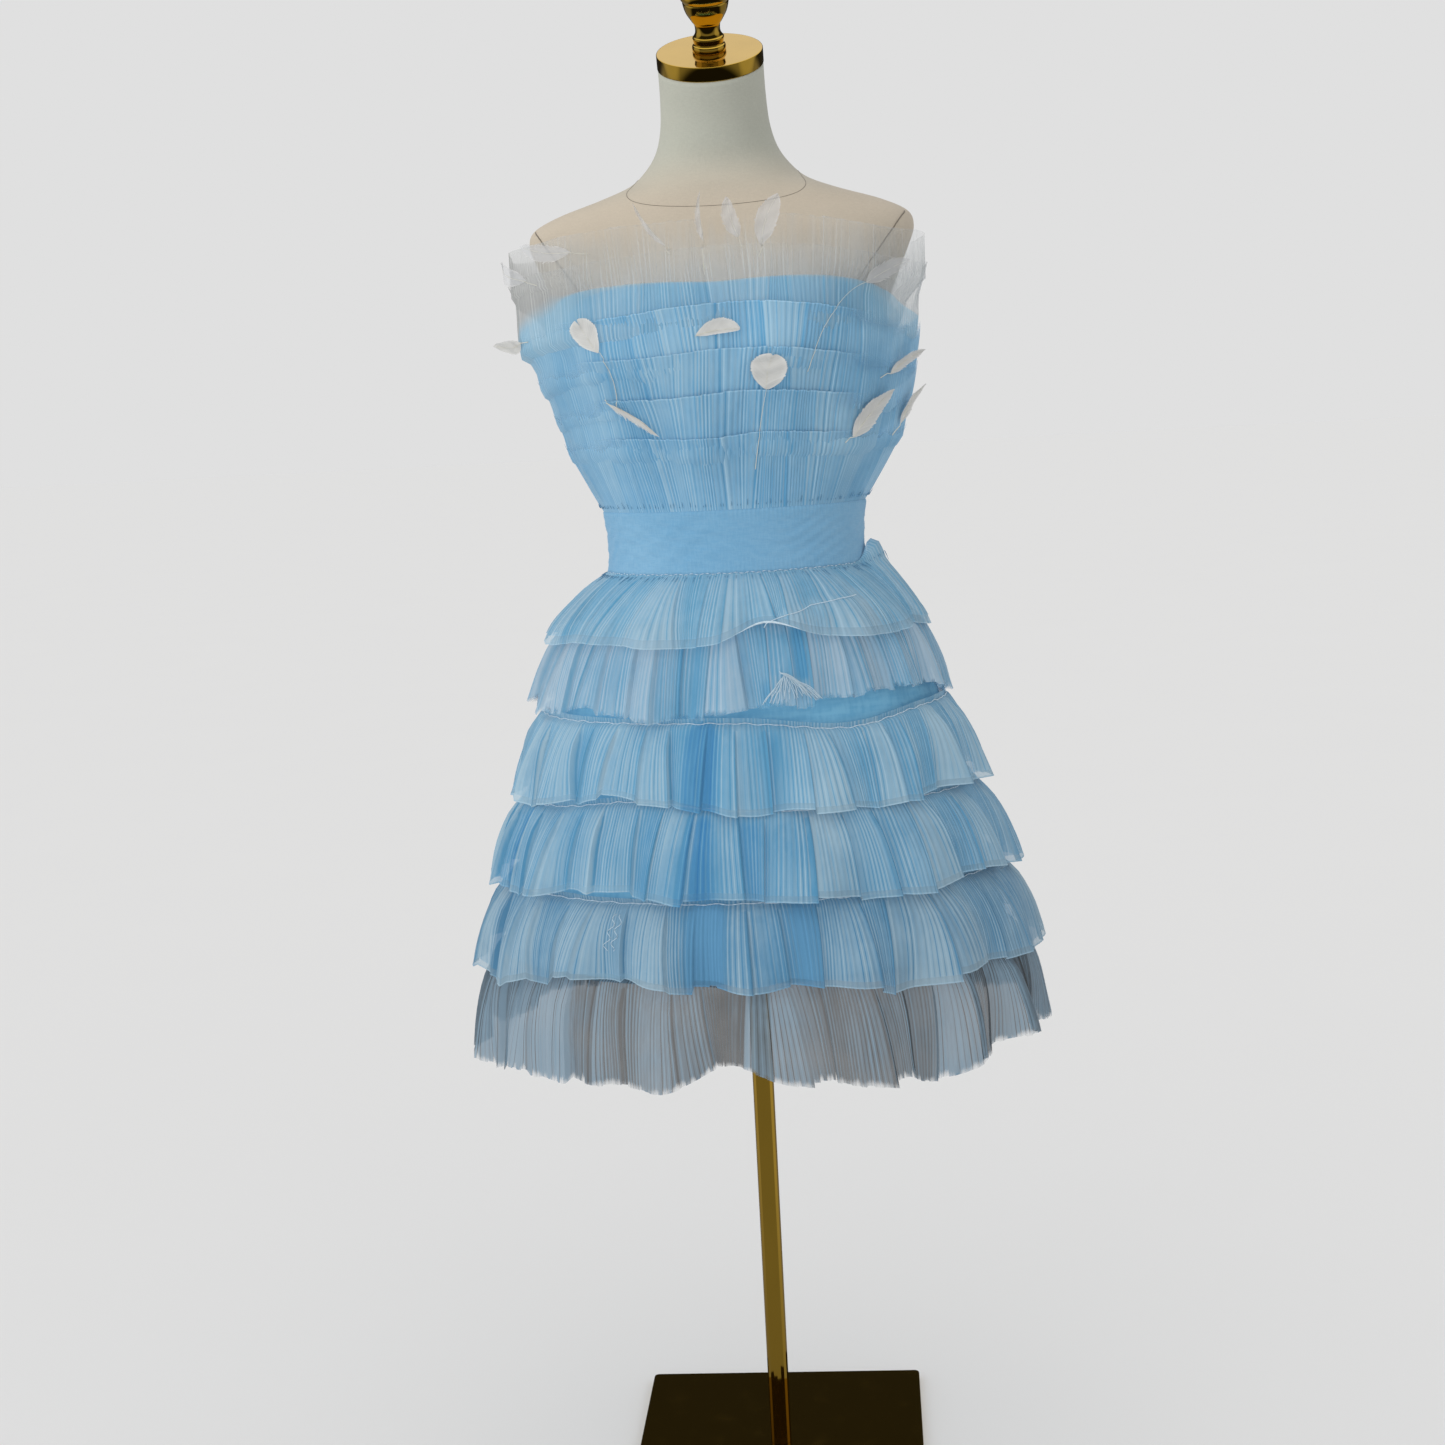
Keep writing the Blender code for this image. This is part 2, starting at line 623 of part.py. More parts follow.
def main():
    clear_scene()
    parts = make_collection("party_dress")
    lining = make_material("blue_lining", BLUE_LINING)
    tulle = make_material("blue_tulle", BLUE_TULLE)
    linen = make_material("cream_linen", CREAM_LINEN)
    gold = make_material("polished_gold", GOLD)
    ivory = make_material("ivory_feather", IVORY)
    add_stand(gold, parts)
    add_form(linen, parts)
    add_cap_and_finial(gold, parts)
    add_lining(lining, parts)
    add_zip(lining, parts)
    add_waistband(tulle, parts)
    add_underskirt(lining, parts)
    add_ruffles(tulle, parts)
    add_tiers(tulle, parts)
    for index, row in enumerate(FEATHERS, 1):
        add_feather(index, row, ivory, parts)


main()
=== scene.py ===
"""Visual model of a strapless party dress of pleated tulle on a limbless dress form.

Metres, +Z up, front at -Y, as the frame. Round the dress a turn is 0 at the centre back, a
quarter at +X, a half at the centre front. Cloth is a thin shell on its solid's form.
"""

import math
from collections import namedtuple

import bpy
import numpy as np
from mathutils import Matrix


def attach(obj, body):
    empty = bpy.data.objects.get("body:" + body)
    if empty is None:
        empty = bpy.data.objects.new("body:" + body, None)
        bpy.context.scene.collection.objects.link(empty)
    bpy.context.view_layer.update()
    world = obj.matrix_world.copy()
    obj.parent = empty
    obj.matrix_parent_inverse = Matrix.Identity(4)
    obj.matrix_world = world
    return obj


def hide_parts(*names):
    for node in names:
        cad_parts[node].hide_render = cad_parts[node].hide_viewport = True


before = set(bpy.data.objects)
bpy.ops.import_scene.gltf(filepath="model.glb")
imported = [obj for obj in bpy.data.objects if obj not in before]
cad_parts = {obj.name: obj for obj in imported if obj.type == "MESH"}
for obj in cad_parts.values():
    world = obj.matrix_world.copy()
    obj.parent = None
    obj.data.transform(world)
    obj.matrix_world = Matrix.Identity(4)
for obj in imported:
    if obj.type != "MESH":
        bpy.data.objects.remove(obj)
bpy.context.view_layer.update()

TAU = 2 * np.pi
RING_TURNS = np.arange(240) / 240

# Dress form below the neck: height, half width, front depth, back depth
FIGURE = (
    (0.640, 0.146, 0.089, 0.099),
    (0.650, 0.154, 0.094, 0.105),
    (0.700, 0.166, 0.101, 0.117),
    (0.760, 0.170, 0.104, 0.122),
    (0.800, 0.164, 0.101, 0.117),
    (0.840, 0.150, 0.096, 0.106),
    (0.880, 0.128, 0.088, 0.089),
    (0.905, 0.1185, 0.083, 0.079),
    (0.925, 0.1165, 0.081, 0.076),
    (0.960, 0.1190, 0.082, 0.077),
    (1.000, 0.1260, 0.088, 0.082),
    (1.040, 0.1345, 0.099, 0.089),
    (1.080, 0.1430, 0.112, 0.095),
    (1.110, 0.1480, 0.118, 0.098),
    (1.140, 0.1520, 0.112, 0.100),
    (1.170, 0.1630, 0.097, 0.100),
    (1.195, 0.1735, 0.082, 0.097),
    (1.212, 0.1790, 0.072, 0.092),
    (1.226, 0.1740, 0.063, 0.086),
    (1.238, 0.1500, 0.057, 0.080),
    (1.250, 0.1120, 0.053, 0.074),
)
# Neck: height of the ring's centre, its place front to back, half width, half depth, lean in degrees
NECK = (
    (1.2620, 0.009, 0.0840, 0.060, 3.0),
    (1.2740, 0.008, 0.0690, 0.055, 7.0),
    (1.2900, 0.005, 0.0572, 0.0510, 13.0),
    (1.3100, -0.001, 0.0508, 0.0490, 19.0),
    (1.3350, -0.0095, 0.0485, 0.0480, 25.0),
    (1.3629, -0.0208, 0.0480, 0.0480, 27.0),
)
# Seam of the plate that closes an armhole: place on the form and turn
ARMHOLE = (
    (17.9, 0.287),
    (17.6, 0.304),
    (17.3, 0.314),
    (17.0, 0.321),
    (16.6, 0.328),
    (16.0, 0.336),
    (15.4, 0.346),
    (15.0, 0.353),
    (14.5, 0.364),
    (13.9, 0.380),
)
# Cap and finial, which lean forward with the neck; the finial's radii and heights from the cap
CAP_CENTRE = (0.0, -0.027, 1.375)
CAP_RADIUS = 0.0485
CAP_THICK = 0.0133
CAP_ROUND = 0.0009
NECK_LEAN = 27.0
FINIAL = (
    (0.0152, 0.0003),
    (0.0155, 0.0030),
    (0.0150, 0.0052),
    (0.0136, 0.0070),
    (0.0140, 0.0098),
    (0.0143, 0.0122),
    (0.0128, 0.0142),
    (0.0114, 0.0175),
    (0.0117, 0.0235),
    (0.0140, 0.0272),
    (0.0186, 0.0350),
    (0.0207, 0.0424),
    (0.0209, 0.0448),
    (0.0226, 0.0478),
    (0.0228, 0.0530),
    (0.0204, 0.0620),
    (0.0138, 0.0690),
    (0.0060, 0.0718),
    (0.0052, 0.0728),
    (0.0062, 0.0745),
    (0.0042, 0.0770),
    (0.0004, 0.0780),
)
# Cups of the figure, and the height above which the ruffles no longer follow its chest
CUP_HEIGHT = 1.110
CUP_SPREAD = 0.044
CUP_TURN = 0.085
CUP_DEPTH = 0.007
CARRIER_TOP = 1.130

# Cloth layers, outwards from the form
LINING_OUT = 0.0030
SHEET_OUT = 0.0048
TIER_OUT = 0.0018

# Bodice lining: heights of its top edge, dip at the centre front, sharpness towards the sides
LINING_TOP_FRONT = 1.167
LINING_TOP_SIDE = 1.128
LINING_TOP_BACK = 1.116
LINING_DIP = 0.002
LINING_CORNER = 2.8
WAIST_LOW = 0.9065
WAIST_TOP = 0.9630
# Half the gap between the edges at the back zip, in turns
OPENING_TURN = 0.0009

# Ruffles: name, stitch height, top height, both at the centre front, drop at the sides and back,
# reach of the top at the front, the wearer's right (-X), the left (+X) and the back, wave depth
Ruffle = namedtuple("Ruffle", "name stitch top drop front right left back depth")
RUFFLES = (
    Ruffle("ruffle_1_sheer_tall", 1.134, 1.222, 0.030, -0.004, 0.043, 0.032, 0.014, 0.0040),
    Ruffle("ruffle_1_sheer_short", 1.112, 1.195, 0.030, 0.013, 0.046, 0.035, 0.020, 0.0030),
    Ruffle("ruffle_2", 1.0800, 1.1455, 0.030, 0.012, 0.043, 0.026, 0.022, 0.0026),
    Ruffle("ruffle_3", 1.0400, 1.1065, 0.021, 0.012, 0.031, 0.027, 0.018, 0.0026),
    Ruffle("ruffle_4", 0.9930, 1.0690, 0.013, 0.012, 0.024, 0.029, 0.018, 0.0026),
    Ruffle("ruffle_5", 0.9642, 1.0310, 0.000, 0.013, 0.021, 0.028, 0.018, 0.0026),
)
# How late a ruffle leans out at the front and back, and how much sooner at the sides
LEAN_POWER = 1.1
SIDE_BULGE = 0.25
RUFFLE_WAVES = 12
# The ruffles that are sheer veils
VEILS = (0, 1)
# Share of its drop by which a ruffle is taller at the sides, and how uneven its top edge is
TOP_LAG = 0.35
TOP_UNEVEN = 0.0025
# From how far under the top of the one below a ruffle is pressed to it, over what height and how
# softly, and how close it lies behind
PRESS_FROM = 0.040
PRESS_RUN = 0.026
PRESS_SOFT = 0.001
RUFFLE_GAP = 0.0022
# Count and depth of a ruffle's pleats, its panels, and its uneven outside and top edge
RUFFLE_PLEATS = 225
RUFFLE_PLEAT_DEPTH = 0.0005
RUFFLE_PANELS = 30
RUFFLE_CRINKLE = 0.0008
RUFFLE_PANEL_OUT = 0.0010
RUFFLE_RAGGED = 0.016

# Underskirt: height, half width, front depth, back depth
SKIRT = (
    (0.4400, 0.262, 0.176, 0.200),
    (0.5250, 0.252, 0.167, 0.189),
    (0.5400, 0.249, 0.165, 0.186),
    (0.6200, 0.230, 0.153, 0.170),
    (0.7000, 0.209, 0.140, 0.152),
    (0.7800, 0.187, 0.127, 0.133),
    (0.8200, 0.173, 0.119, 0.121),
    (0.8600, 0.155, 0.108, 0.105),
    (0.8800, 0.140, 0.098, 0.093),
    (0.9060, 0.1225, 0.0865, 0.0825),
)
# Its lower and upper edge, how far it is drawn in, and the depth of its waves
UNDERSKIRT_LOW = 0.541
UNDERSKIRT_TOP = 0.9056
UNDERSKIRT_IN = 0.0008
UNDERSKIRT_SWING = 0.0012
# Tiers: name, stitch height, hem height, reach of the hem, how early it leans out, waves, wave
# depth, unevenness of the hem, pleats, height of the frill above the stitches, stagger of the hem,
# panels and how strongly they differ
Tier = namedtuple(
    "Tier", "name stitch hem reach early waves depth uneven pleats frill stagger panels contrast"
)
TIERS = (
    Tier("tier_1", 0.9058, 0.8470, 0.023, 3.0, 16, 0.0060, 0.0030, 210, 0.0012, 0.0008, 34, 0.40),
    Tier("tier_2", 0.8640, 0.7850, 0.013, 2.8, 18, 0.0080, 0.0045, 230, 0.0000, 0.0050, 46, 0.90),
    Tier("tier_3", 0.7760, 0.6990, 0.016, 2.8, 16, 0.0080, 0.0035, 250, 0.0050, 0.0040, 46, 1.00),
    Tier("tier_4", 0.6950, 0.6180, 0.021, 2.8, 16, 0.0090, 0.0035, 275, 0.0050, 0.0040, 44, 1.00),
    Tier("tier_5", 0.6150, 0.5370, 0.023, 2.8, 17, 0.0100, 0.0045, 300, 0.0050, 0.0050, 42, 1.00),
    Tier("tier_6", 0.5460, 0.4490, 0.015, 2.8, 17, 0.0095, 0.0045, 310, 0.0000, 0.0050, 44, 1.00),
)
# Where a tier sits higher or lower: centre and spread in turns, rise of its stitch and of its hem
SHIFTS = (
    ("tier_1", 0.472, 0.030, 0.000, 0.016),
    ("tier_2", 0.375, 0.065, 0.000, 0.015),
    ("tier_3", 0.415, 0.055, -0.011, 0.000),
    ("tier_3", 0.570, 0.050, 0.000, 0.012),
    ("tier_3", 0.490, 0.025, 0.000, -0.009),
    ("tier_4", 0.570, 0.055, 0.011, 0.009),
    ("tier_5", 0.575, 0.070, 0.000, 0.013),
    ("tier_6", 0.506, 0.032, 0.000, 0.026),
    ("tier_6", 0.300, 0.050, 0.000, 0.012),
)
# Painted light and shade on a tier's cloth, where it lies paler or deeper: its centre and spread in turns
# and the change of its fold
PAINTED_FOLD_SHADING = (
    ("tier_2", 0.519, 0.017, -0.75),
    ("tier_3", 0.494, 0.026, -0.35),
    ("tier_4", 0.485, 0.030, -0.45),
    ("tier_5", 0.482, 0.024, -0.85),
    ("tier_5", 0.640, 0.040, 0.40),
    ("tier_6", 0.655, 0.040, 0.70),
    ("tier_6", 0.565, 0.030, -0.35),
    ("tier_6", 0.493, 0.018, -0.35),
    ("tier_6", 0.440, 0.020, -0.45),
)
# The first tier puffs up and out at the left side, and its frill there is lifted
PUFF_HEIGHT = 0.010
PUFF_OUT = 0.015
PUFF_LIFT = 0.010
PUFF_TURN = 0.262
PUFF_SPREAD = 0.032
# The second tier is bunched outwards below the lift, and the next three fold inwards beside it
BUNCH_TURN = 0.472
BUNCH_OUT = 0.010
BUNCH_SPREAD = 0.012
RECESSED = ("tier_3", "tier_4", "tier_5")
RECESS_IN = 0.012
RECESS_TURN = 0.519
RECESS_SPREAD = 0.012
# The first tier's flap: turns and shares of its length along the line where it folds up
FLAP = ((0.355, 0.33), (0.400, 0.40), (0.430, 0.50), (0.453, 0.73), (0.472, 0.99), (0.480, 1.30))
FLAP_OUT = 0.0030
# Panels of a tier: how far the widening ones stand out, their slope and how far their edges sway
PANEL_OUT = 0.0036
PANEL_SLOPE = -0.0026
PANEL_SWAY = 0.85
# How far out the top of a tier is pushed by its gathers, and its frill above the stitches
HEAD_OUT = 0.0060
FRILL_OUT = 0.0020
# How far in the hems of the upper tiers hang at the left side, and where
SIDE_IN = {"tier_1": 0.009, "tier_2": 0.006}
SIDE_IN_TURN = 0.26
SIDE_IN_SPREAD = 0.09
# Depth of a tier's pleats and of its crinkles, and how ragged a torn hem is
TIER_PLEAT_DEPTH = 0.0006
TIER_CRINKLE = 0.0018
TORN_HEM = 0.0022
COLUMNS_A_PLEAT = 6

# Shapes of feather: where it is widest, roundness, share of the width on either side, notch in
# the tip, how far the barbs part
FEATHER_SHAPES = {
    "petal": (1.50, 0.55, 1.0, 0.9, 0.16, 0.05),
    "half": (1.00, 0.55, 0.35, 1.0, 0.00, 0.12),
    "round": (1.10, 0.50, 1.0, 1.0, 0.04, 0.05),
    "barbed": (0.85, 0.75, 1.0, 0.25, 0.00, 0.60),
    "leaf": (0.90, 0.70, 1.0, 1.0, 0.00, 0.20),
    "plume": (0.80, 0.65, 0.8, 1.0, 0.00, 0.35),
    "wisp": (0.70, 0.90, 0.3, 1.0, 0.00, 0.60),
}
# Feathers: shape, carrying ruffle, turn, share of the ruffle's height, length, width, direction of
# the tip in degrees (0 towards +X at the front, 90 up), how far the tip stands off, length of bare
# quill and how far its end bends aside
FEATHERS = (
    ("petal", 2, 0.607, 0.80, 0.033, 0.025, 112.0, 0.0000, 0.050, -0.018),
    ("half", 2, 0.498, 0.62, 0.035, 0.021, 5.0, 0.0000, 0.000, 0.000),
    ("round", 3, 0.456, 0.68, 0.030, 0.029, 80.0, 0.0000, 0.070, 0.003),
    ("barbed", 4, 0.583, 0.77, 0.050, 0.012, 319.0, 0.0000, 0.004, 0.000),
    ("leaf", 4, 0.350, 0.76, 0.054, 0.022, 52.0, 0.0030, 0.006, 0.000),
    ("plume", 1, 0.343, 0.86, 0.047, 0.017, 35.0, 0.0030, 0.085, 0.045),
    ("plume", 3, 0.305, 0.92, 0.044, 0.013, 30.0, 0.0060, 0.010, 0.000),
    ("leaf", 4, 0.282, 0.85, 0.040, 0.013, 60.0, 0.0060, 0.010, 0.000),
    ("leaf", 2, 0.722, 0.96, 0.042, 0.014, 175.0, 0.0200, 0.006, 0.000),
    ("plume", 0, 0.648, 0.92, 0.048, 0.018, 160.0, 0.0030, 0.010, 0.000),
    ("leaf", 0, 0.706, 0.82, 0.050, 0.018, 150.0, 0.0050, 0.010, 0.000),
    ("leaf", 0, 0.450, 0.94, 0.044, 0.018, 72.0, 0.0020, 0.010, 0.000),
    ("plume", 0, 0.481, 0.98, 0.036, 0.016, 104.0, 0.0020, 0.010, 0.000),
    ("wisp", 0, 0.554, 0.98, 0.046, 0.007, 121.0, 0.0000, 0.010, 0.000),
    ("wisp", 0, 0.508, 1.02, 0.044, 0.009, 91.0, 0.0000, 0.030, 0.000),
    ("leaf", 2, 0.190, 0.75, 0.040, 0.018, 70.0, 0.0040, 0.015, 0.000),
    ("plume", 4, 0.120, 0.80, 0.044, 0.014, 120.0, 0.0000, 0.010, 0.000),
    ("leaf", 0, 0.085, 0.85, 0.040, 0.016, 100.0, 0.0020, 0.015, 0.000),
    ("petal", 2, 0.925, 0.75, 0.036, 0.020, 95.0, 0.0000, 0.015, 0.000),
    ("plume", 1, 0.830, 0.80, 0.044, 0.018, 120.0, 0.0020, 0.015, 0.000),
)
# How far a feather stands off its ruffle, and how far it curls aside as a share of its length
FEATHER_OUT = 0.0030
FEATHER_CURL = 0.05
QUILL_RADIUS = 0.00042

# Seams of the form: the neck's place at the back and its fall to the front, and their radii
NECK_SEAM = 21.6
NECK_SEAM_FALL = 2.8
NECK_SEAM_RADIUS = 0.0003
ARM_SEAM_RADIUS = 0.0007

# Backdrop's brightness, and the sun's strength, then its height, side and width in degrees
BACKDROP = 0.745
SUN_STRENGTH = 1.30
SUN_HEIGHT = 24.0
SUN_SIDE = 46.0
SUN_WIDTH = 28.0
FLOOR_REACH = 40.0
# Camera: picture, lens and tilt in pixels, degrees round from the front and of roll, and metres
# back, aside and up from the foot of the stand
PICTURE_PIXELS = 1445
LENS_PIXELS = 2000
TILT_PIXELS = 322.5
CAMERA_ROUND = 4.3
CAMERA_ROLL = 3
CAMERA_BACK = 1.908
CAMERA_ASIDE = 0.0219
CAMERA_HEIGHT = 1.063
FILM_WIDTH = 36.0


# Shapes


def through(place, table, column):
    """Smooth curve through one column of a table whose first column is the place."""
    places = np.array([row[0] for row in table])
    values = np.array([row[column] for row in table])
    slopes = np.gradient(values, places)
    place = np.clip(place, places[0], places[-1])
    low = np.clip(np.searchsorted(places, place) - 1, 0, len(places) - 2)
    span = places[low + 1] - places[low]
    share = (place - places[low]) / span
    square, cube = share**2, share**3
    return (
        (2 * cube - 3 * square + 1) * values[low]
        + (cube - 2 * square + share) * span * slopes[low]
        + (3 * square - 2 * cube) * values[low + 1]
        + (cube - square) * span * slopes[low + 1]
    )


def smooth_step(value):
    value = np.clip(value, 0, 1)
    return value * value * (3 - 2 * value)


def bump(turn, centre, spread):
    return np.exp(-(((turn - centre) / spread) ** 2))


def cups(turn, height):
    """How far the cups of the figure stand out of its plain oval."""
    across = np.abs(turn - 0.5)
    cup = bump(across, CUP_TURN, 0.045) - 0.35 * bump(across, 0.0, 0.04)
    return CUP_DEPTH * cup * bump(height, CUP_HEIGHT, CUP_SPREAD)


def oval(turn, height, half_width, front, back, out):
    """Half width times sine and depth times cosine of the turn, each grown by out."""
    angle = TAU * turn
    depth = np.where(np.cos(angle) > 0, back, front) + out
    return np.stack(
        np.broadcast_arrays((half_width + out) * np.sin(angle), depth * np.cos(angle), height), axis=-1
    )


def on_figure(turn, height, out):
    axes = [through(height, FIGURE, column) for column in (1, 2, 3)]
    return oval(turn, height, *axes, out + cups(turn, height))


def above_bust(turn, height, out):
    """As on_figure, but straight up from the bust."""
    level = np.minimum(height, CARRIER_TOP)
    axes = [through(level, FIGURE, column) for column in (1, 2, 3)]
    return oval(turn, height, *axes, out + cups(turn, level))


def on_skirt(turn, height, out):
    return oval(turn, height, *[through(height, SKIRT, column) for column in (1, 2, 3)], out)


def fold_angle(turn, count, seed):
    """Angle of the uneven waves round a ring: the count times the turn, plus a slow drift."""
    angle = TAU * turn
    return count * angle + 0.9 * np.sin(2 * angle + seed) + 0.4 * np.sin(3 * angle + 2.1 * seed)


def waves(turn, count, seed):
    uneven = 0.72 + 0.28 * np.sin(5 * TAU * turn + 1.7 * seed)
    return uneven * np.sin(fold_angle(turn, count, seed))


def plateau(angle):
    """A wave with broad flat tops near 1 and narrower valleys near -1."""
    return np.tanh(2.5 * (np.sin(angle) + 0.45))


def hashed(index):
    """A number from 0 to 1 for each index: the fraction of a large multiple of its sine."""
    return (np.sin(12.9898 * index + 4.1) * 43758.5453) % 1.0


def panels(turn, count, seed):
    """Panels round a ring: index, place across from 0 to 1, sideways shift and how far it widens.

    The count times the turn drifts, so that widths differ. Every edge between two panels leans
    sideways by its own hashed amount, and the turns between two edges share their shifts.
    """
    angle = TAU * turn
    drift = 0.14 * np.sin(2 * angle + seed) + 0.07 * np.sin(3 * angle + 2.1 * seed)
    place = count * turn + drift + 0.15 * np.sin(17 * angle + seed)
    index = np.floor(place)
    across = place - index
    first = hashed(index % count + 31 * seed) - 0.5
    last = hashed((index + 1) % count + 31 * seed) - 0.5
    shift = PANEL_SWAY * (first + (last - first) * across) / count
    return index % count, across, shift, last - first


def side_share(turn):
    """0 at the centre front and back, 1 at the sides."""
    return np.sin(TAU * turn) ** 2


def zigzag(phase):
    """Triangle wave from 1 at whole phases to -1 half way between."""
    return 2 * np.abs(2 * (phase % 1.0) - 1) - 1


def crinkle(turn, share, seed):
    """Soft irregular dents: three slanted sines whose counts share no factor."""
    angle = TAU * turn
    first = np.sin(23 * angle + 3.0 * share + seed) * np.sin(4.0 * share + 7 * angle + seed)
    second = np.sin(37 * angle - 4.0 * share + 2 * seed)
    third = np.sin(61 * angle + 6.0 * share + 3 * seed)
    return 0.5 * first + 0.3 * second + 0.2 * third


def ruffle_span(row, turn):
    """Height of a ruffle's stitch line and how tall the ruffle is there."""
    low = row.drop * np.where(np.cos(TAU * turn) > 0, 1.0, side_share(turn))
    return row.stitch - low, row.top - row.stitch + TOP_LAG * low


def ruffle_lean(number, turn, rise):
    """Height and distance out of a ruffle that rises from its stitch line and leans out.

    It leans out by its reach times the rise to a power, plus waves that deepen with the rise.
    """
    row, seed = RUFFLES[number], number + 1.0
    sides = side_share(turn)
    side_reach = np.where(np.sin(TAU * turn) > 0, row.left, row.right)
    plain_reach = np.where(np.cos(TAU * turn) > 0, row.back, row.front)
    reach = plain_reach + (side_reach - plain_reach) * sides
    stitch, tall = ruffle_span(row, turn)
    height = stitch + rise * (tall + TOP_UNEVEN * waves(turn, 5, seed + 1.0))
    lean = rise ** (LEAN_POWER - SIDE_BULGE * sides)
    return height, SHEET_OUT + reach * lean + row.depth * rise * waves(turn, RUFFLE_WAVES, seed)


def on_ruffle(number, turn, rise, extra):
    """Outer face of a ruffle, pressed from behind against the top of the one below it.

    It is the farther out of its own place and the held one, with a soft change between the two:
    half of their sum plus the root of their squared difference and a small square.
    """
    rise = np.maximum(rise, 0.001)
    height, out = ruffle_lean(number, turn, rise)
    if number < len(RUFFLES) - 1:
        top, top_out = ruffle_lean(number + 1, turn, np.ones(np.shape(turn)))
        near = smooth_step((height - top + PRESS_FROM) / PRESS_RUN)
        held = SHEET_OUT + (top_out - RUFFLE_GAP - SHEET_OUT) * near
        if number == 0:
            held = SHEET_OUT + (held - SHEET_OUT) * smooth_step((side_share(turn) - 0.15) / 0.4)
        out = (out + held + np.sqrt((out - held) ** 2 + PRESS_SOFT**2)) / 2
    return above_bust(turn, height, out + extra)


def tier_points(number, turn, fall, extra, stagger=0.0):
    """Outer face of a skirt tier: from the stitch line it falls to its uneven hem and leans out.

    It leans out by its reach times 1 - (1 - fall) ** early, with waves that deepen as it falls.
    """
    row, seed = TIERS[number], number + 1.0
    stitch = row.stitch
    down = np.maximum(fall, 0)
    low = row.hem + row.uneven * waves(turn, 7, seed + 2.0) + stagger
    out = TIER_OUT + row.depth * down * waves(turn, row.waves, seed) + extra
    for name, centre, spread, stitch_rise, hem_rise in SHIFTS:
        if name == row.name:
            stitch = stitch + stitch_rise * bump(turn, centre, spread)
            low = low + hem_rise * bump(turn, centre, spread)
    if row.name == "tier_1":
        puff = bump(turn, PUFF_TURN, PUFF_SPREAD) * (1 - down) ** 2
        stitch = stitch + PUFF_HEIGHT * puff
        out = out + PUFF_OUT * puff
    else:
        out = out + HEAD_OUT * (1 - down) ** 2 * smooth_step((down + 0.02) / 0.05)
    if row.name == "tier_2":
        out = out + BUNCH_OUT * down * bump(turn, BUNCH_TURN, BUNCH_SPREAD)
    if row.name in RECESSED:
        out = out - RECESS_IN * down * bump(turn, RECESS_TURN, RECESS_SPREAD)
    height = stitch + fall * (low - stitch)
    return on_skirt(turn, height, out + row.reach * (1 - (1 - down) ** row.early))


def lining_top(turn):
    """Height of the bodice lining's top edge."""
    end = np.where(np.cos(TAU * turn) > 0, LINING_TOP_BACK, LINING_TOP_FRONT)
    dip = LINING_DIP * bump(turn, 0.5, 0.03)
    return end + (LINING_TOP_SIDE - end) * side_share(turn) ** LINING_CORNER - dip


# Meshes


def surface_quads(rows, columns, closed, flip):
    """Corner indices of a grid's quads, and of the same quads on a grid with its last column kept."""
    row, column = np.meshgrid(
        np.arange(rows - 1), np.arange(columns if closed else columns - 1), indexing="ij"
    )
    after = (column + 1) % columns
    low, high = row * columns, (row + 1) * columns
    quads = np.stack([low + column, high + column, high + after, low + after], axis=-1)
    wide = columns + 1 if closed else columns
    low, high = row * wide, (row + 1) * wide
    corners = np.stack([low + column, high + column, high + column + 1, low + column + 1], axis=-1)
    if flip:
        quads, corners = quads[..., ::-1], corners[..., ::-1]
    return quads.reshape(-1, 4), corners.reshape(-1, 4)


def add_piece(name, mesh, material):
    """A smooth mesh as a piece of the part, with its material and slot."""
    mesh.shade_smooth()
    mesh.materials.append(material)
    made = bpy.data.objects.new(name, mesh)
    bpy.context.scene.collection.objects.link(made)
    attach(made, "root")
    return made


def add_surface(name, points, material, closed=False, flip=False, uv=None, ends=False):
    """A grid of points, row by row, as a mesh that faces outwards when rows climb and turns grow."""
    rows, columns = points.shape[:2]
    quads, corners = surface_quads(rows, columns, closed, flip)
    faces = quads.tolist()
    if ends:
        bottom = list(range(columns))
        top = list(range((rows - 1) * columns, rows * columns))[::-1]
        faces += [bottom[::-1], top[::-1]] if flip else [bottom, top]
    mesh = bpy.data.meshes.new(name)
    mesh.from_pydata(points.reshape(-1, 3).tolist(), [], faces)
    if uv is not None:
        layer = mesh.uv_layers.new(name="pleat")
        flat = uv.reshape(-1, 2)[corners.reshape(-1)]
        layer.data.foreach_set("uv", flat.astype(np.float32).ravel())
    return add_piece(name, mesh, material)


def tube_points(path, radius, sides):
    """Points of a tube: a circle of that radius square to the path at each of its points."""
    ahead = np.gradient(path, axis=0)
    ahead /= np.linalg.norm(ahead, axis=1, keepdims=True)
    across = np.cross(ahead, np.array([0.13, 0.29, 0.95]))
    across /= np.linalg.norm(across, axis=1, keepdims=True)
    square = np.cross(ahead, across)
    angle = TAU * np.arange(sides) / sides
    ring = across[:, None] * np.cos(angle)[:, None] + square[:, None] * np.sin(angle)[:, None]
    return path[:, None] + ring * np.asarray(radius).reshape(-1, 1, 1)


def add_tubes(name, tubes, material):
    """One mesh from the points of several tubes, each with closed ends."""
    points, faces, start = [], [], 0
    for tube in tubes:
        rows, columns = tube.shape[:2]
        end = start + rows * columns
        quads, _ = surface_quads(rows, columns, True, False)
        faces += (quads + start).tolist()
        faces.append(list(range(start, start + columns)))
        faces.append(list(range(end - columns, end))[::-1])
        points.append(tube.reshape(-1, 3))
        start = end
    mesh = bpy.data.meshes.new(name)
    mesh.from_pydata(np.concatenate(points).tolist(), [], faces)
    return add_piece(name, mesh, material)


# Materials


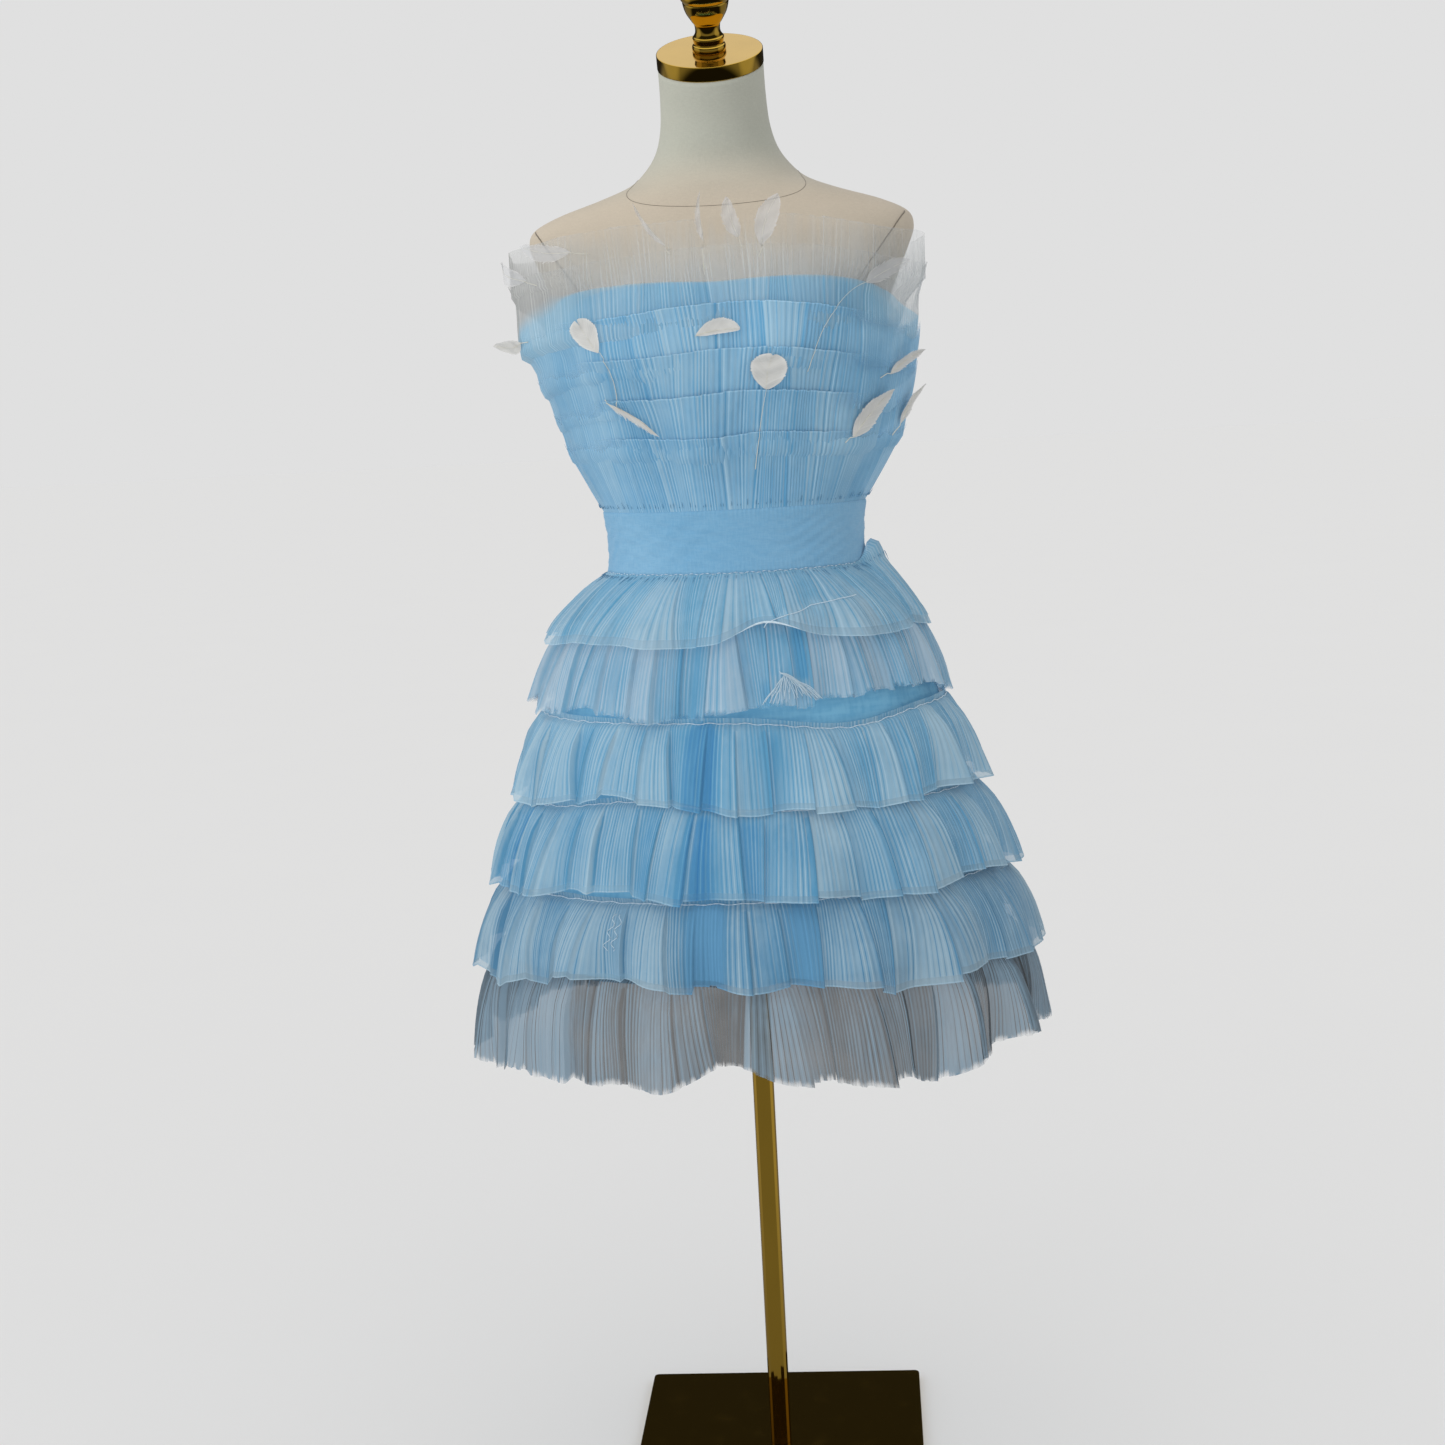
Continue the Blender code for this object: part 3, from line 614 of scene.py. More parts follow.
class Nodes:
    """A material's or the world's node tree, with short calls that return output sockets."""

    def __init__(self, owner):
        owner.use_nodes = True
        self.tree = owner.node_tree

    def add(self, kind, **settings):
        made = self.tree.nodes.new(kind)
        for key, value in settings.items():
            setattr(made, key, value)
        return made

    def put(self, value, socket):
        if isinstance(value, bpy.types.NodeSocket):
            self.tree.links.new(value, socket)
        else:
            socket.default_value = value

    def math(self, operation, *values, clamp=False):
        made = self.add("ShaderNodeMath", operation=operation, use_clamp=clamp)
        for value, socket in zip(values, made.inputs):
            self.put(value, socket)
        return made.outputs[0]

    def ramp(self, value, low, high, to_low=0.0, to_high=1.0):
        """Smooth step of a value from low to high."""
        made = self.add("ShaderNodeMapRange", interpolation_type="SMOOTHSTEP")
        for given, socket in zip((value, low, high, to_low, to_high), made.inputs):
            self.put(given, socket)
        return made.outputs[0]

    def mix(self, factor, low, high):
        """A blend of two colours."""
        made = self.add("ShaderNodeMix", data_type="RGBA")
        for given, socket in ((factor, made.inputs[0]), (low, made.inputs[6]), (high, made.inputs[7])):
            self.put(given, socket)
        return made.outputs[2]

    def blend(self, factor, low, high):
        """A blend of two numbers."""
        made = self.add("ShaderNodeMix", data_type="FLOAT")
        for given, socket in zip((factor, low, high), (made.inputs[0], made.inputs[2], made.inputs[3])):
            self.put(given, socket)
        return made.outputs[0]

    def where(self, scale=(1.0, 1.0, 1.0)):
        """Object coordinates, scaled."""
        place = self.add("ShaderNodeTexCoord").outputs["Object"]
        made = self.add("ShaderNodeMapping")
        self.put(place, made.inputs["Vector"])
        self.put(scale, made.inputs["Scale"])
        return made.outputs[0]

    def parts(self, vector):
        """The three numbers of a vector."""
        made = self.add("ShaderNodeSeparateXYZ")
        self.put(vector, made.inputs[0])
        return made.outputs

    def attribute(self, name):
        return self.add("ShaderNodeAttribute", attribute_name=name).outputs["Fac"]

    def chance(self, value):
        """A number from 0 to 1 by chance for each whole part of a value."""
        made = self.add("ShaderNodeTexWhiteNoise", noise_dimensions="1D")
        self.put(self.math("FLOOR", value), made.inputs["W"])
        return made.outputs[0]

    def noise(self, vector, scale, detail=2.0, roughness=0.5):
        made = self.add("ShaderNodeTexNoise")
        self.put(vector, made.inputs["Vector"])
        self.put(scale, made.inputs["Scale"])
        self.put(detail, made.inputs["Detail"])
        self.put(roughness, made.inputs["Roughness"])
        return made.outputs[0]

    def weave(self, stretch, threads):
        """The mean of two noises stretched up and across, as warp and weft."""
        warp = self.noise(self.where((1.0, 1.0, stretch)), threads, 2.0)
        weft = self.noise(self.where((stretch, stretch, 1.0)), threads, 2.0)
        return self.math("MULTIPLY", self.math("ADD", warp, weft), 0.5)

    def bump(self, height, strength, distance):
        made = self.add("ShaderNodeBump")
        self.put(strength, made.inputs["Strength"])
        self.put(distance, made.inputs["Distance"])
        self.put(height, made.inputs["Height"])
        return made.outputs[0]


def new_material(name, **plain):
    """A material, its nodes and its Principled shader with plain values set on it."""
    made = bpy.data.materials.new(name)
    nodes = Nodes(made)
    shader = nodes.tree.nodes["Principled BSDF"]
    for key, value in plain.items():
        shader.inputs[key.replace("_", " ")].default_value = value
    return made, nodes, shader


def pleated_tulle(name, light, deep, recess, cover, ridge_cover, lines, band, fine, edge):
    """Sheer tulle: painted highlight on pleat ridges, painted shade in valleys, painted light on broad
    folds and painted shade in recesses by the fold attribute, a hem band past a share.

    Fine counts the lines to a pleat. Lap is the place across a panel: a painted highlight runs along its
    far edge and a painted shadow along its near edge. Plain fades the lines and the rim at the sides, and
    paints shade on a veil there. A torn edge frays into threads. A veil turns bluer and thicker over the
    lining and frays out towards its top.
    """
    made, nodes, shader = new_material(
        name, Roughness=0.85, Sheen_Weight=0.12, Sheen_Roughness=0.5, Specular_IOR_Level=0.2
    )
    pleat = nodes.parts(nodes.add("ShaderNodeUVMap", uv_map="pleat").outputs[0])
    along, share = nodes.math("MULTIPLY", pleat[0], fine), pleat[1]
    fold, plain, lap_shading = nodes.attribute("fold"), nodes.attribute("plain"), nodes.attribute("lap_shading")
    showy = nodes.math("SUBTRACT", 1.0, plain)
    # Lines on the pleat ridges are painted highlight (and denser cover); lines in the valleys are painted
    # shade.
    from_middle = nodes.math("ABSOLUTE", nodes.math("SUBTRACT", nodes.math("FRACT", along), 0.5))
    ridge_chance = nodes.chance(nodes.math("ADD", along, 0.5))
    ridge = nodes.math("MULTIPLY", nodes.ramp(from_middle, 0.34, 0.47), ridge_chance)
    valley = nodes.math("MULTIPLY", nodes.ramp(from_middle, 0.15, 0.03), nodes.chance(along))
    cloud = nodes.math("SUBTRACT", nodes.noise(nodes.where(), 16.0, 3.0), 0.5)
    streak = nodes.math("SUBTRACT", nodes.noise(nodes.where((1.0, 1.0, 0.06)), 190.0, 3.0, 0.6), 0.5)
    in_band = nodes.math("MULTIPLY", nodes.ramp(share, band - 0.008, band + 0.004), showy)
    at_edge = nodes.math("MULTIPLY", nodes.ramp(share, 0.978, 0.99), showy)

    detail = nodes.math("MULTIPLY", ridge, lines)
    detail = nodes.math("MULTIPLY_ADD", valley, -1.3 * lines, detail)
    detail = nodes.math("MULTIPLY_ADD", streak, 0.5, detail)
    detail = nodes.math("MULTIPLY", detail, nodes.math("MULTIPLY_ADD", plain, -0.5, 1.0))
    detail = nodes.math("MULTIPLY", detail, nodes.math("MULTIPLY_ADD", in_band, -0.6, 1.0))
    tone = nodes.math("MULTIPLY_ADD", cloud, 0.7, detail)
    # Painted light on broad folds and standing panels, painted shade in recesses, by the fold attribute.
    tone = nodes.math("ADD", tone, nodes.math("MULTIPLY_ADD", fold, 0.55, 0.42))
    # Painted highlight along a panel's far edge and painted shadow along its near edge, where it laps over
    # the next.
    tone = nodes.math("MULTIPLY_ADD", nodes.ramp(lap_shading, 0.90, 0.95), 0.34, tone)
    tone = nodes.math("MULTIPLY_ADD", nodes.ramp(lap_shading, 0.16, 0.02), -0.42, tone)
    tone = nodes.math("MULTIPLY_ADD", in_band, 0.16, tone)
    tone = nodes.math("MULTIPLY_ADD", at_edge, 0.15, tone, clamp=True)
    colour = nodes.mix(tone, (*deep, 1.0), (*light, 1.0))
    # Recesses turn a deeper blue: partly overlapping layers, partly painted shade.
    depth = nodes.mix(nodes.math("ADD", detail, 0.45, clamp=True), (*recess, 1.0), (*deep, 1.0))
    colour = nodes.mix(nodes.ramp(fold, -1.0, -0.35), depth, colour)

    body = nodes.blend(ridge, cover, ridge_cover)
    body = nodes.math("MULTIPLY_ADD", cloud, 0.3, body)
    body = nodes.math("MULTIPLY_ADD", in_band, -0.20, body)
    body = nodes.math("MULTIPLY_ADD", at_edge, 0.28, body, clamp=True)
    if edge == "veil":
        over = nodes.math("MULTIPLY_ADD", plain, -0.92, 1.0)
        over = nodes.ramp(nodes.math("MULTIPLY", nodes.attribute("over"), over), -0.0008, 0.0008)
        # Painted shade: the veil greys at its sides, where it and the linen behind lie in shadow.
        dull = nodes.mix(tone, (0.36, 0.36, 0.35, 1.0), (0.56, 0.56, 0.54, 1.0))
        colour = nodes.mix(nodes.math("MULTIPLY", plain, 0.75), colour, dull)
        blue = nodes.mix(tone, (0.155, 0.40, 0.60, 1.0), (0.40, 0.57, 0.68, 1.0))
        colour = nodes.mix(over, colour, blue)
        ragged = nodes.math("MULTIPLY_ADD", streak, 0.5, nodes.math("MULTIPLY_ADD", cloud, 0.8, share))
        ragged = nodes.math("MULTIPLY_ADD", plain, -0.16, ragged)
        body = nodes.math("MULTIPLY", body, nodes.ramp(ragged, 0.55, 1.12, 1.0, 0.0))
        body = nodes.math("MULTIPLY_ADD", plain, 0.22, body)
        body = nodes.math("MULTIPLY_ADD", over, 0.25, body, clamp=True)
    else:
        soft = nodes.math("MULTIPLY", nodes.ramp(share, 0.72, 1.0), plain)
        if edge == "torn":
            torn = nodes.math("MULTIPLY_ADD", streak, 0.12, share)
            torn = nodes.math("MULTIPLY_ADD", ridge_chance, 0.05, torn)
            torn = nodes.math("MULTIPLY", nodes.ramp(torn, 0.965, 1.05), 0.9)
            soft = nodes.math("MAXIMUM", soft, torn)
        body = nodes.math("MULTIPLY", body, nodes.math("SUBTRACT", 1.0, soft), clamp=True)
    nodes.put(colour, shader.inputs["Base Color"])
    nodes.put(body, shader.inputs["Alpha"])
    net = nodes.noise(nodes.where(), 900.0, 1.0)
    nodes.put(nodes.bump(net, 0.12, 0.0004), shader.inputs["Normal"])
    return made


def woven_cloth(name, light, deep, threads, contrast, roughness, sheen):
    """Opaque woven cloth: warp and weft over a slow change of tone."""
    made, nodes, shader = new_material(
        name, Roughness=roughness, Sheen_Weight=sheen, Specular_IOR_Level=0.25
    )
    thread = nodes.weave(0.15, threads)
    shown = nodes.ramp(thread, 0.38, 0.62, -contrast / 2, contrast / 2)
    slow = nodes.noise(nodes.where(), 9.0, 3.0)
    tone = nodes.math("ADD", slow, shown, clamp=True)
    nodes.put(nodes.mix(tone, (*deep, 1.0), (*light, 1.0)), shader.inputs["Base Color"])
    nodes.put(nodes.bump(thread, 0.2, 0.0003), shader.inputs["Normal"])
    return made


def form_linen(name):
    """Fine linen, warm on the shoulders and greyer up the neck."""
    made, nodes, shader = new_material(
        name, Roughness=0.9, Sheen_Weight=0.1, Specular_IOR_Level=0.25
    )
    thread = nodes.weave(0.2, 1300.0)
    height = nodes.parts(nodes.where())[2]
    chest_up = nodes.ramp(height, 1.15, 1.235)
    neck_up = nodes.ramp(height, 1.235, 1.30)
    warm = nodes.mix(chest_up, (0.48, 0.44, 0.37, 1.0), (0.56, 0.49, 0.395, 1.0))
    tone = nodes.mix(neck_up, warm, (0.475, 0.485, 0.42, 1.0))
    slow = nodes.math("MULTIPLY_ADD", nodes.noise(nodes.where(), 12.0, 3.0), 0.6, thread)
    mottled = nodes.add("ShaderNodeVectorMath", operation="SCALE")
    nodes.put(tone, mottled.inputs[0])
    nodes.put(nodes.math("MULTIPLY_ADD", slow, 0.28, 0.72), mottled.inputs["Scale"])
    nodes.put(mottled.outputs[0], shader.inputs["Base Color"])
    nodes.put(nodes.bump(thread, 0.15, 0.0003), shader.inputs["Normal"])
    return made


def polished_metal(name, colour, roughness):
    """Mirror-polished metal with faint smears."""
    made, nodes, shader = new_material(name, Metallic=1.0)
    smear = nodes.noise(nodes.where((1.0, 1.0, 0.35)), 38.0, 4.0)
    nodes.put(nodes.ramp(smear, 0.45, 0.8, roughness, roughness + 0.07), shader.inputs["Roughness"])
    dull = tuple(0.86 * part for part in colour)
    nodes.put(nodes.mix(smear, (*colour, 1.0), (*dull, 1.0)), shader.inputs["Base Color"])
    return made


def feather_barbs(name, light, deep, cover, edge):
    """Slanting barbs that thin out and part towards the edge of the vane, as its own UV says."""
    made, nodes, shader = new_material(name, Roughness=0.6, Sheen_Weight=0.2)
    across, along, _ = nodes.parts(nodes.add("ShaderNodeUVMap", uv_map="pleat").outputs[0])
    part = nodes.attribute("fold")
    aside = nodes.math("ABSOLUTE", across)
    barb = nodes.math("MULTIPLY_ADD", aside, -9.0, nodes.math("MULTIPLY", along, 34.0))
    from_middle = nodes.math("ABSOLUTE", nodes.math("SUBTRACT", nodes.math("FRACT", barb), 0.5))
    line = nodes.math("MULTIPLY", from_middle, 2.0)
    each = nodes.chance(barb)

    frayed = nodes.math("MULTIPLY_ADD", each, nodes.math("MULTIPLY_ADD", part, 0.5, 0.04), aside)
    gap = nodes.math("MULTIPLY", nodes.ramp(aside, 0.3, 1.0), nodes.ramp(line, 0.4, 0.8))
    kept = nodes.math("SUBTRACT", 1.0, nodes.math("MULTIPLY", gap, part), clamp=True)
    solid = nodes.math("MULTIPLY", nodes.ramp(frayed, 0.97, 1.03, 1.0, 0.0), kept)
    strength = nodes.blend(nodes.ramp(aside, 0.75, 0.97), cover, edge)
    nodes.put(nodes.math("MULTIPLY", solid, strength), shader.inputs["Alpha"])

    tone = nodes.math("MULTIPLY_ADD", line, 0.5, nodes.math("MULTIPLY", each, 0.3))
    tone = nodes.math("MULTIPLY_ADD", nodes.ramp(aside, 0.6, 1.0), -0.5, tone, clamp=True)
    nodes.put(nodes.mix(tone, (*light, 1.0), (*deep, 1.0)), shader.inputs["Base Color"])
    nodes.put(nodes.bump(line, 0.35, 0.0005), shader.inputs["Normal"])
    return made


def plain_thread(name, colour):
    """Thread or quill of one colour, darker by a fifth where its fine noise is low."""
    made, nodes, shader = new_material(name, Roughness=0.7, Sheen_Weight=0.2)
    twist = nodes.noise(nodes.where(), 700.0, 1.0)
    deep = tuple(0.8 * part for part in colour)
    nodes.put(nodes.mix(twist, (*deep, 1.0), (*colour, 1.0)), shader.inputs["Base Color"])
    return made


# Tulle: colour of the ridges, paler with painted highlight, of the valleys, darker with painted shade, and
# of the recesses, partly painted shade, cover between and on the ridges, strength of the lines, share
# where the hem band starts, lines to a pleat and kind of edge
TULLE_LOOKS = (
    ("veil", (0.60, 0.64, 0.66), (0.41, 0.465, 0.505), (0.36, 0.43, 0.49),
     0.32, 0.60, 0.60, 1.2, 1.3, "veil"),
    ("bodice", (0.36, 0.56, 0.70), (0.115, 0.36, 0.60), (0.10, 0.32, 0.54),
     0.82, 0.95, 0.62, 1.2, 1.3, "hemmed"),
    ("tier_1", (0.35, 0.51, 0.62), (0.115, 0.34, 0.525), (0.09, 0.30, 0.52),
     0.80, 0.95, 0.66, 0.87, 1.4, "hemmed"),
    ("tier_2", (0.37, 0.495, 0.60), (0.13, 0.34, 0.52), (0.07, 0.28, 0.51),
     0.84, 0.96, 0.62, 1.2, 1.4, "torn"),
    ("tier_3", (0.33, 0.49, 0.60), (0.10, 0.31, 0.505), (0.038, 0.19, 0.425),
     0.88, 0.97, 0.70, 0.92, 1.5, "hemmed"),
    ("tier_4", (0.315, 0.465, 0.57), (0.09, 0.28, 0.465), (0.024, 0.18, 0.45),
     0.90, 0.97, 0.70, 0.92, 1.5, "hemmed"),
    ("tier_5", (0.29, 0.42, 0.515), (0.08, 0.23, 0.385), (0.12, 0.31, 0.52),
     0.90, 0.97, 0.74, 0.92, 1.5, "hemmed"),
    # The sixth tier's colours are dark with painted shade: the shadowed inside of the skirt seen through
    # it.
    ("tier_6", (0.19, 0.28, 0.36), (0.05, 0.055, 0.06), (0.045, 0.040, 0.037),
     0.84, 0.94, 0.80, 1.2, 1.5, "torn"),
)
TULLE = {name: pleated_tulle(f"{name}_tulle", *look) for name, *look in TULLE_LOOKS}
LINING = woven_cloth("blue_lining_satin", (0.18, 0.43, 0.66), (0.13, 0.35, 0.585), 1200.0, 0.3, 0.6, 0.2)
UNDERSKIRT = woven_cloth("underskirt_cloth", (0.20, 0.475, 0.68), (0.13, 0.38, 0.60), 260.0, 0.7, 0.8, 0.1)
SASH = woven_cloth("sash_tulle", (0.25, 0.46, 0.64), (0.14, 0.35, 0.56), 900.0, 0.3, 0.75, 0.2)
LINEN = form_linen("cream_linen_weave")
GOLD = polished_metal("polished_gold_metal", (0.66, 0.41, 0.055), 0.05)
FEATHER = feather_barbs("ivory_feather_barbs", (0.70, 0.70, 0.68), (0.50, 0.50, 0.48), 0.97, 1.0)
VEIL_FEATHER = feather_barbs("sheer_feather_barbs", (0.66, 0.66, 0.67), (0.54, 0.57, 0.61), 0.50, 0.75)
QUILL = plain_thread("ivory_quill", (0.70, 0.69, 0.60))
FRAYED_THREAD = plain_thread("frayed_thread", (0.52, 0.66, 0.76))
STITCH_THREAD = plain_thread("stitch_thread", (0.62, 0.76, 0.86))
TUCK_SHADE = plain_thread("tuck_shade", (0.05, 0.20, 0.36))
SEAM_SHADE = plain_thread("seam_shade", (0.20, 0.17, 0.13))


# The form and its stand


def turned_points(profile, sides):
    """A profile of radii and heights turned about an axis that leans with the neck from the cap."""
    angle = TAU * np.arange(sides) / sides
    radius, height = profile[:, :1], profile[:, 1:]
    tilt = math.radians(NECK_LEAN)
    x, y = radius * np.sin(angle), radius * np.cos(angle)
    rise = height + 0 * angle
    leaning = [x, y * math.cos(tilt) - rise * math.sin(tilt), y * math.sin(tilt) + rise * math.cos(tilt)]
    return np.stack(leaning, axis=-1) + np.array(CAP_CENTRE)


def add_cap_and_finial():
    """The cap is a disc with quarter-round edges. The finial's radii follow a smooth curve."""
    arc = np.linspace(0, np.pi / 2, 7)[:, None]
    inner, low = CAP_RADIUS - CAP_ROUND, CAP_ROUND - CAP_THICK
    bottom = np.concatenate([inner + CAP_ROUND * np.sin(arc), low - CAP_ROUND * np.cos(arc)], axis=1)
    top = np.concatenate([inner + CAP_ROUND * np.cos(arc), CAP_ROUND * (np.sin(arc) - 1)], axis=1)
    flat = np.array([[0.004, 0.0], [inner - 0.0005, 0.0]])
    disc = np.concatenate([flat - [[0, CAP_THICK]], bottom, top, flat[::-1]])
    made = add_surface("cap_disc", turned_points(disc, 96), GOLD, True, ends=True)
    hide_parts("neck_cap")
    table = [(number, *pair) for number, pair in enumerate(FINIAL)]
    places = np.linspace(0, len(FINIAL) - 1, 150)
    profile = np.stack([through(places, table, 1), through(places, table, 2)], axis=1)
    made = add_surface("finial_knob", turned_points(profile, 48), GOLD, True, ends=True)
    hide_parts("finial")


def form_points(turn, place):
    """The form's surface: place 0 to 20 counts the figure's ovals and 21 to 26 the neck's rings.

    Height and depth are the ring's own, tilted by its lean about its centre.
    """
    rows = [(height, 0.0, *axes, 0.0) for height, *axes in FIGURE]
    rows += [(height, centre, wide, deep, deep, lean) for height, centre, wide, deep, lean in NECK]
    table = [(number, *row) for number, row in enumerate(rows)]
    height, centre, wide, front, back, lean = [through(place, table, column) for column in range(1, 7)]
    ring = oval(turn, 0.0, wide, front, back, cups(turn, height))
    tilt = np.radians(lean)
    y, z = centre + ring[..., 1] * np.cos(tilt), height + ring[..., 1] * np.sin(tilt)
    return np.stack([ring[..., 0], y, z], axis=-1)


def add_form():
    """The linen form, with its neck seam and the seams of the plates that close the arms.

    The neck seam falls to the front by its depth times the cosine of the turn to a power.
    """
    turns = np.arange(128) / 128
    places = np.linspace(0, len(FIGURE) + len(NECK) - 1, 190)[:, None]
    points = form_points(turns, places + 0 * turns)
    made = add_surface("form_linen", points, LINEN, closed=True, ends=True)
    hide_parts("dress_form")
    line = np.arange(160) / 160
    front = np.maximum(-np.cos(TAU * line), 0) ** 1.5
    neck = form_points(line, NECK_SEAM - NECK_SEAM_FALL * front)
    seams = [tube_points(np.concatenate([neck, neck[:1]]), NECK_SEAM_RADIUS, 5)]
    steps = np.linspace(0, 1, len(ARMHOLE))
    place, turn = [np.interp(np.linspace(0, 1, 60), steps, column) for column in zip(*ARMHOLE)]
    for side_turn in (turn, 1 - turn):
        seams.append(tube_points(form_points(side_turn, place), ARM_SEAM_RADIUS, 5))
    add_tubes("form_seams", seams, SEAM_SHADE)


# Cloth


def pleat_columns(pleats, closed):
    """Turn of each column and the pleats counted up to it, slowly uneven."""
    columns = pleats * COLUMNS_A_PLEAT
    if closed:
        line = np.arange(columns) / columns
    else:
        line = np.linspace(OPENING_TURN, 1 - OPENING_TURN, columns + 1)
    return line, pleats * line + 0.6 * np.sin(9 * TAU * line) + 0.3 * np.sin(31 * TAU * line)


def pleat_uv(phase, share, pleats, closed):
    """The pleats counted so far along a strip, and the share of its height."""
    if closed:
        phase = np.append(phase, phase[0] + pleats)
    return np.stack(np.broadcast_arrays(phase, share), axis=-1)


def set_float(made, name, values):
    """A number for each vertex, which the materials read."""
    layer = made.data.attributes.new(name, "FLOAT", "POINT")
    layer.data.foreach_set("value", np.asarray(values, np.float32).ravel())


def strip_length(ring, count, depth):
    """Length that a strip is cut to: its free edge's smooth run round the body, taken up by waves.

    run * (1 + (pi * count * depth / run) ** 2), for count waves of that depth.
    """
    run = float(np.linalg.norm(ring - np.roll(ring, -1, axis=0), axis=1).sum())
    return run * (1 + (np.pi * count * depth / run) ** 2)


def declare(node):
    """Hides the model's piece of a gathered strip."""
    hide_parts(node)


def add_ruffles():
    """Ruffles moved by a zigzag of the pleat count, deeper and taller from pleat to pleat."""
    share = np.array([0.0, 0.08, 0.2, 0.3, 0.4, 0.5, 0.6, 0.7, 0.8, 0.88, 0.95, 1.0])[:, None]
    line, phase = pleat_columns(RUFFLE_PLEATS, False)
    ease = np.clip(np.minimum(line, 1 - line) / 0.01, 0, 1)
    for number, row in enumerate(RUFFLES):
        seed = number + 1.0
        veil = number in VEILS
        index, across, shift, widens = panels(line, RUFFLE_PANELS, seed)
        turn = line + 0.7 * shift * share * ease
        sides = smooth_step((side_share(turn) - 0.30) / 0.35)
        pleat = hashed(np.floor(phase + 0.5) + 17 * seed)
        grip = np.clip(share / 0.15, 0.35, 1.0) * (0.35 + 0.9 * pleat) * (1 - 0.5 * sides)
        extra = RUFFLE_PLEAT_DEPTH * grip * zigzag(phase)
        extra = extra + RUFFLE_CRINKLE * share * crinkle(line, share, seed)
        extra = extra + RUFFLE_PANEL_OUT * share * ease * widens
        ragged = hashed(np.floor(phase) + 5 * seed) - 0.5
        rise = share + RUFFLE_RAGGED * ragged * ease * share**6 * (1 - sides)
        points = on_ruffle(number, turn, rise, extra)
        uv = pleat_uv(phase, share, RUFFLE_PLEATS, False)
        cloth = TULLE["veil" if veil else "bodice"]
        made = add_surface(f"{row.name}_tulle", points, cloth, uv=uv)
        # Fold: painted light on panels that widen and stand out, with a random tone from panel to panel.
        fold = 0.25 + 0.36 * widens + 0.4 * (hashed(index + seed) - 0.5)
        set_float(made, "fold", np.clip(fold, -0.3, 1) + 0 * share)
        # Plain: the sides, where lines and rim fade; on the veils it also paints shade there.
        thin = 0.3 if veil else 1.0
        set_float(made, "plain", sides * np.where(np.sin(TAU * turn) > 0, thin, 1.0))
        # Lap: the place across some panels, for a painted highlight and a painted shadow at their edges.
        shown = np.where(hashed(index + 23 * seed) > 0.5, across, 0.5)
        strong = 0.4 if veil else 1.0
        set_float(made, "lap_shading", 0.5 + strong * (shown - 0.5) * (1 - sides))
        set_float(made, "over", lining_top(turn) - points[..., 2])
        reach = np.mean([row.front, row.right, row.left, row.back])
        ring = above_bust(RING_TURNS, row.top, SHEET_OUT + reach)
        declare(row.name)


def along_flap(line):
    """1 along the first tier's flap, from its soft left end to its sharp one."""
    return smooth_step((line - 0.350) / 0.02) * smooth_step((0.486 - line) / 0.006)


def tier_fold_shading(name, line, share, theta, widens):
    """Painted shading: 1 on a broad fold, painted lighter, and -1 in a recess, painted as shade, with the
    recesses and gaps that sit at one place.
    """
    fold = 0.10 + 0.30 * plateau(theta) + 0.95 * widens
    for toned, centre, spread, change in PAINTED_FOLD_SHADING:
        if toned == name:
            fold = fold + change * bump(line, centre, spread)
    if name in RECESSED:
        fold = fold - 1.5 * bump(line, RECESS_TURN + 0.004, 0.013)
    if name == "tier_2":
        across = smooth_step((0.022 - np.abs(line - 0.468)) / 0.003)
        down = smooth_step((share - 0.05) / 0.05) * smooth_step((0.74 - share) / 0.08)
        fold = fold * (1 - across * down) - 0.35 * across * down
        fold = fold - 1.5 * bump(line, 0.4435, 0.004) * down
    if name == "tier_1":
        over = smooth_step((share - np.interp(line, *zip(*FLAP))) / 0.04)
        fold = fold + 0.6 * over * along_flap(line)
    return np.clip(fold * smooth_step(0.5 + share / 0.3), -1, 1)


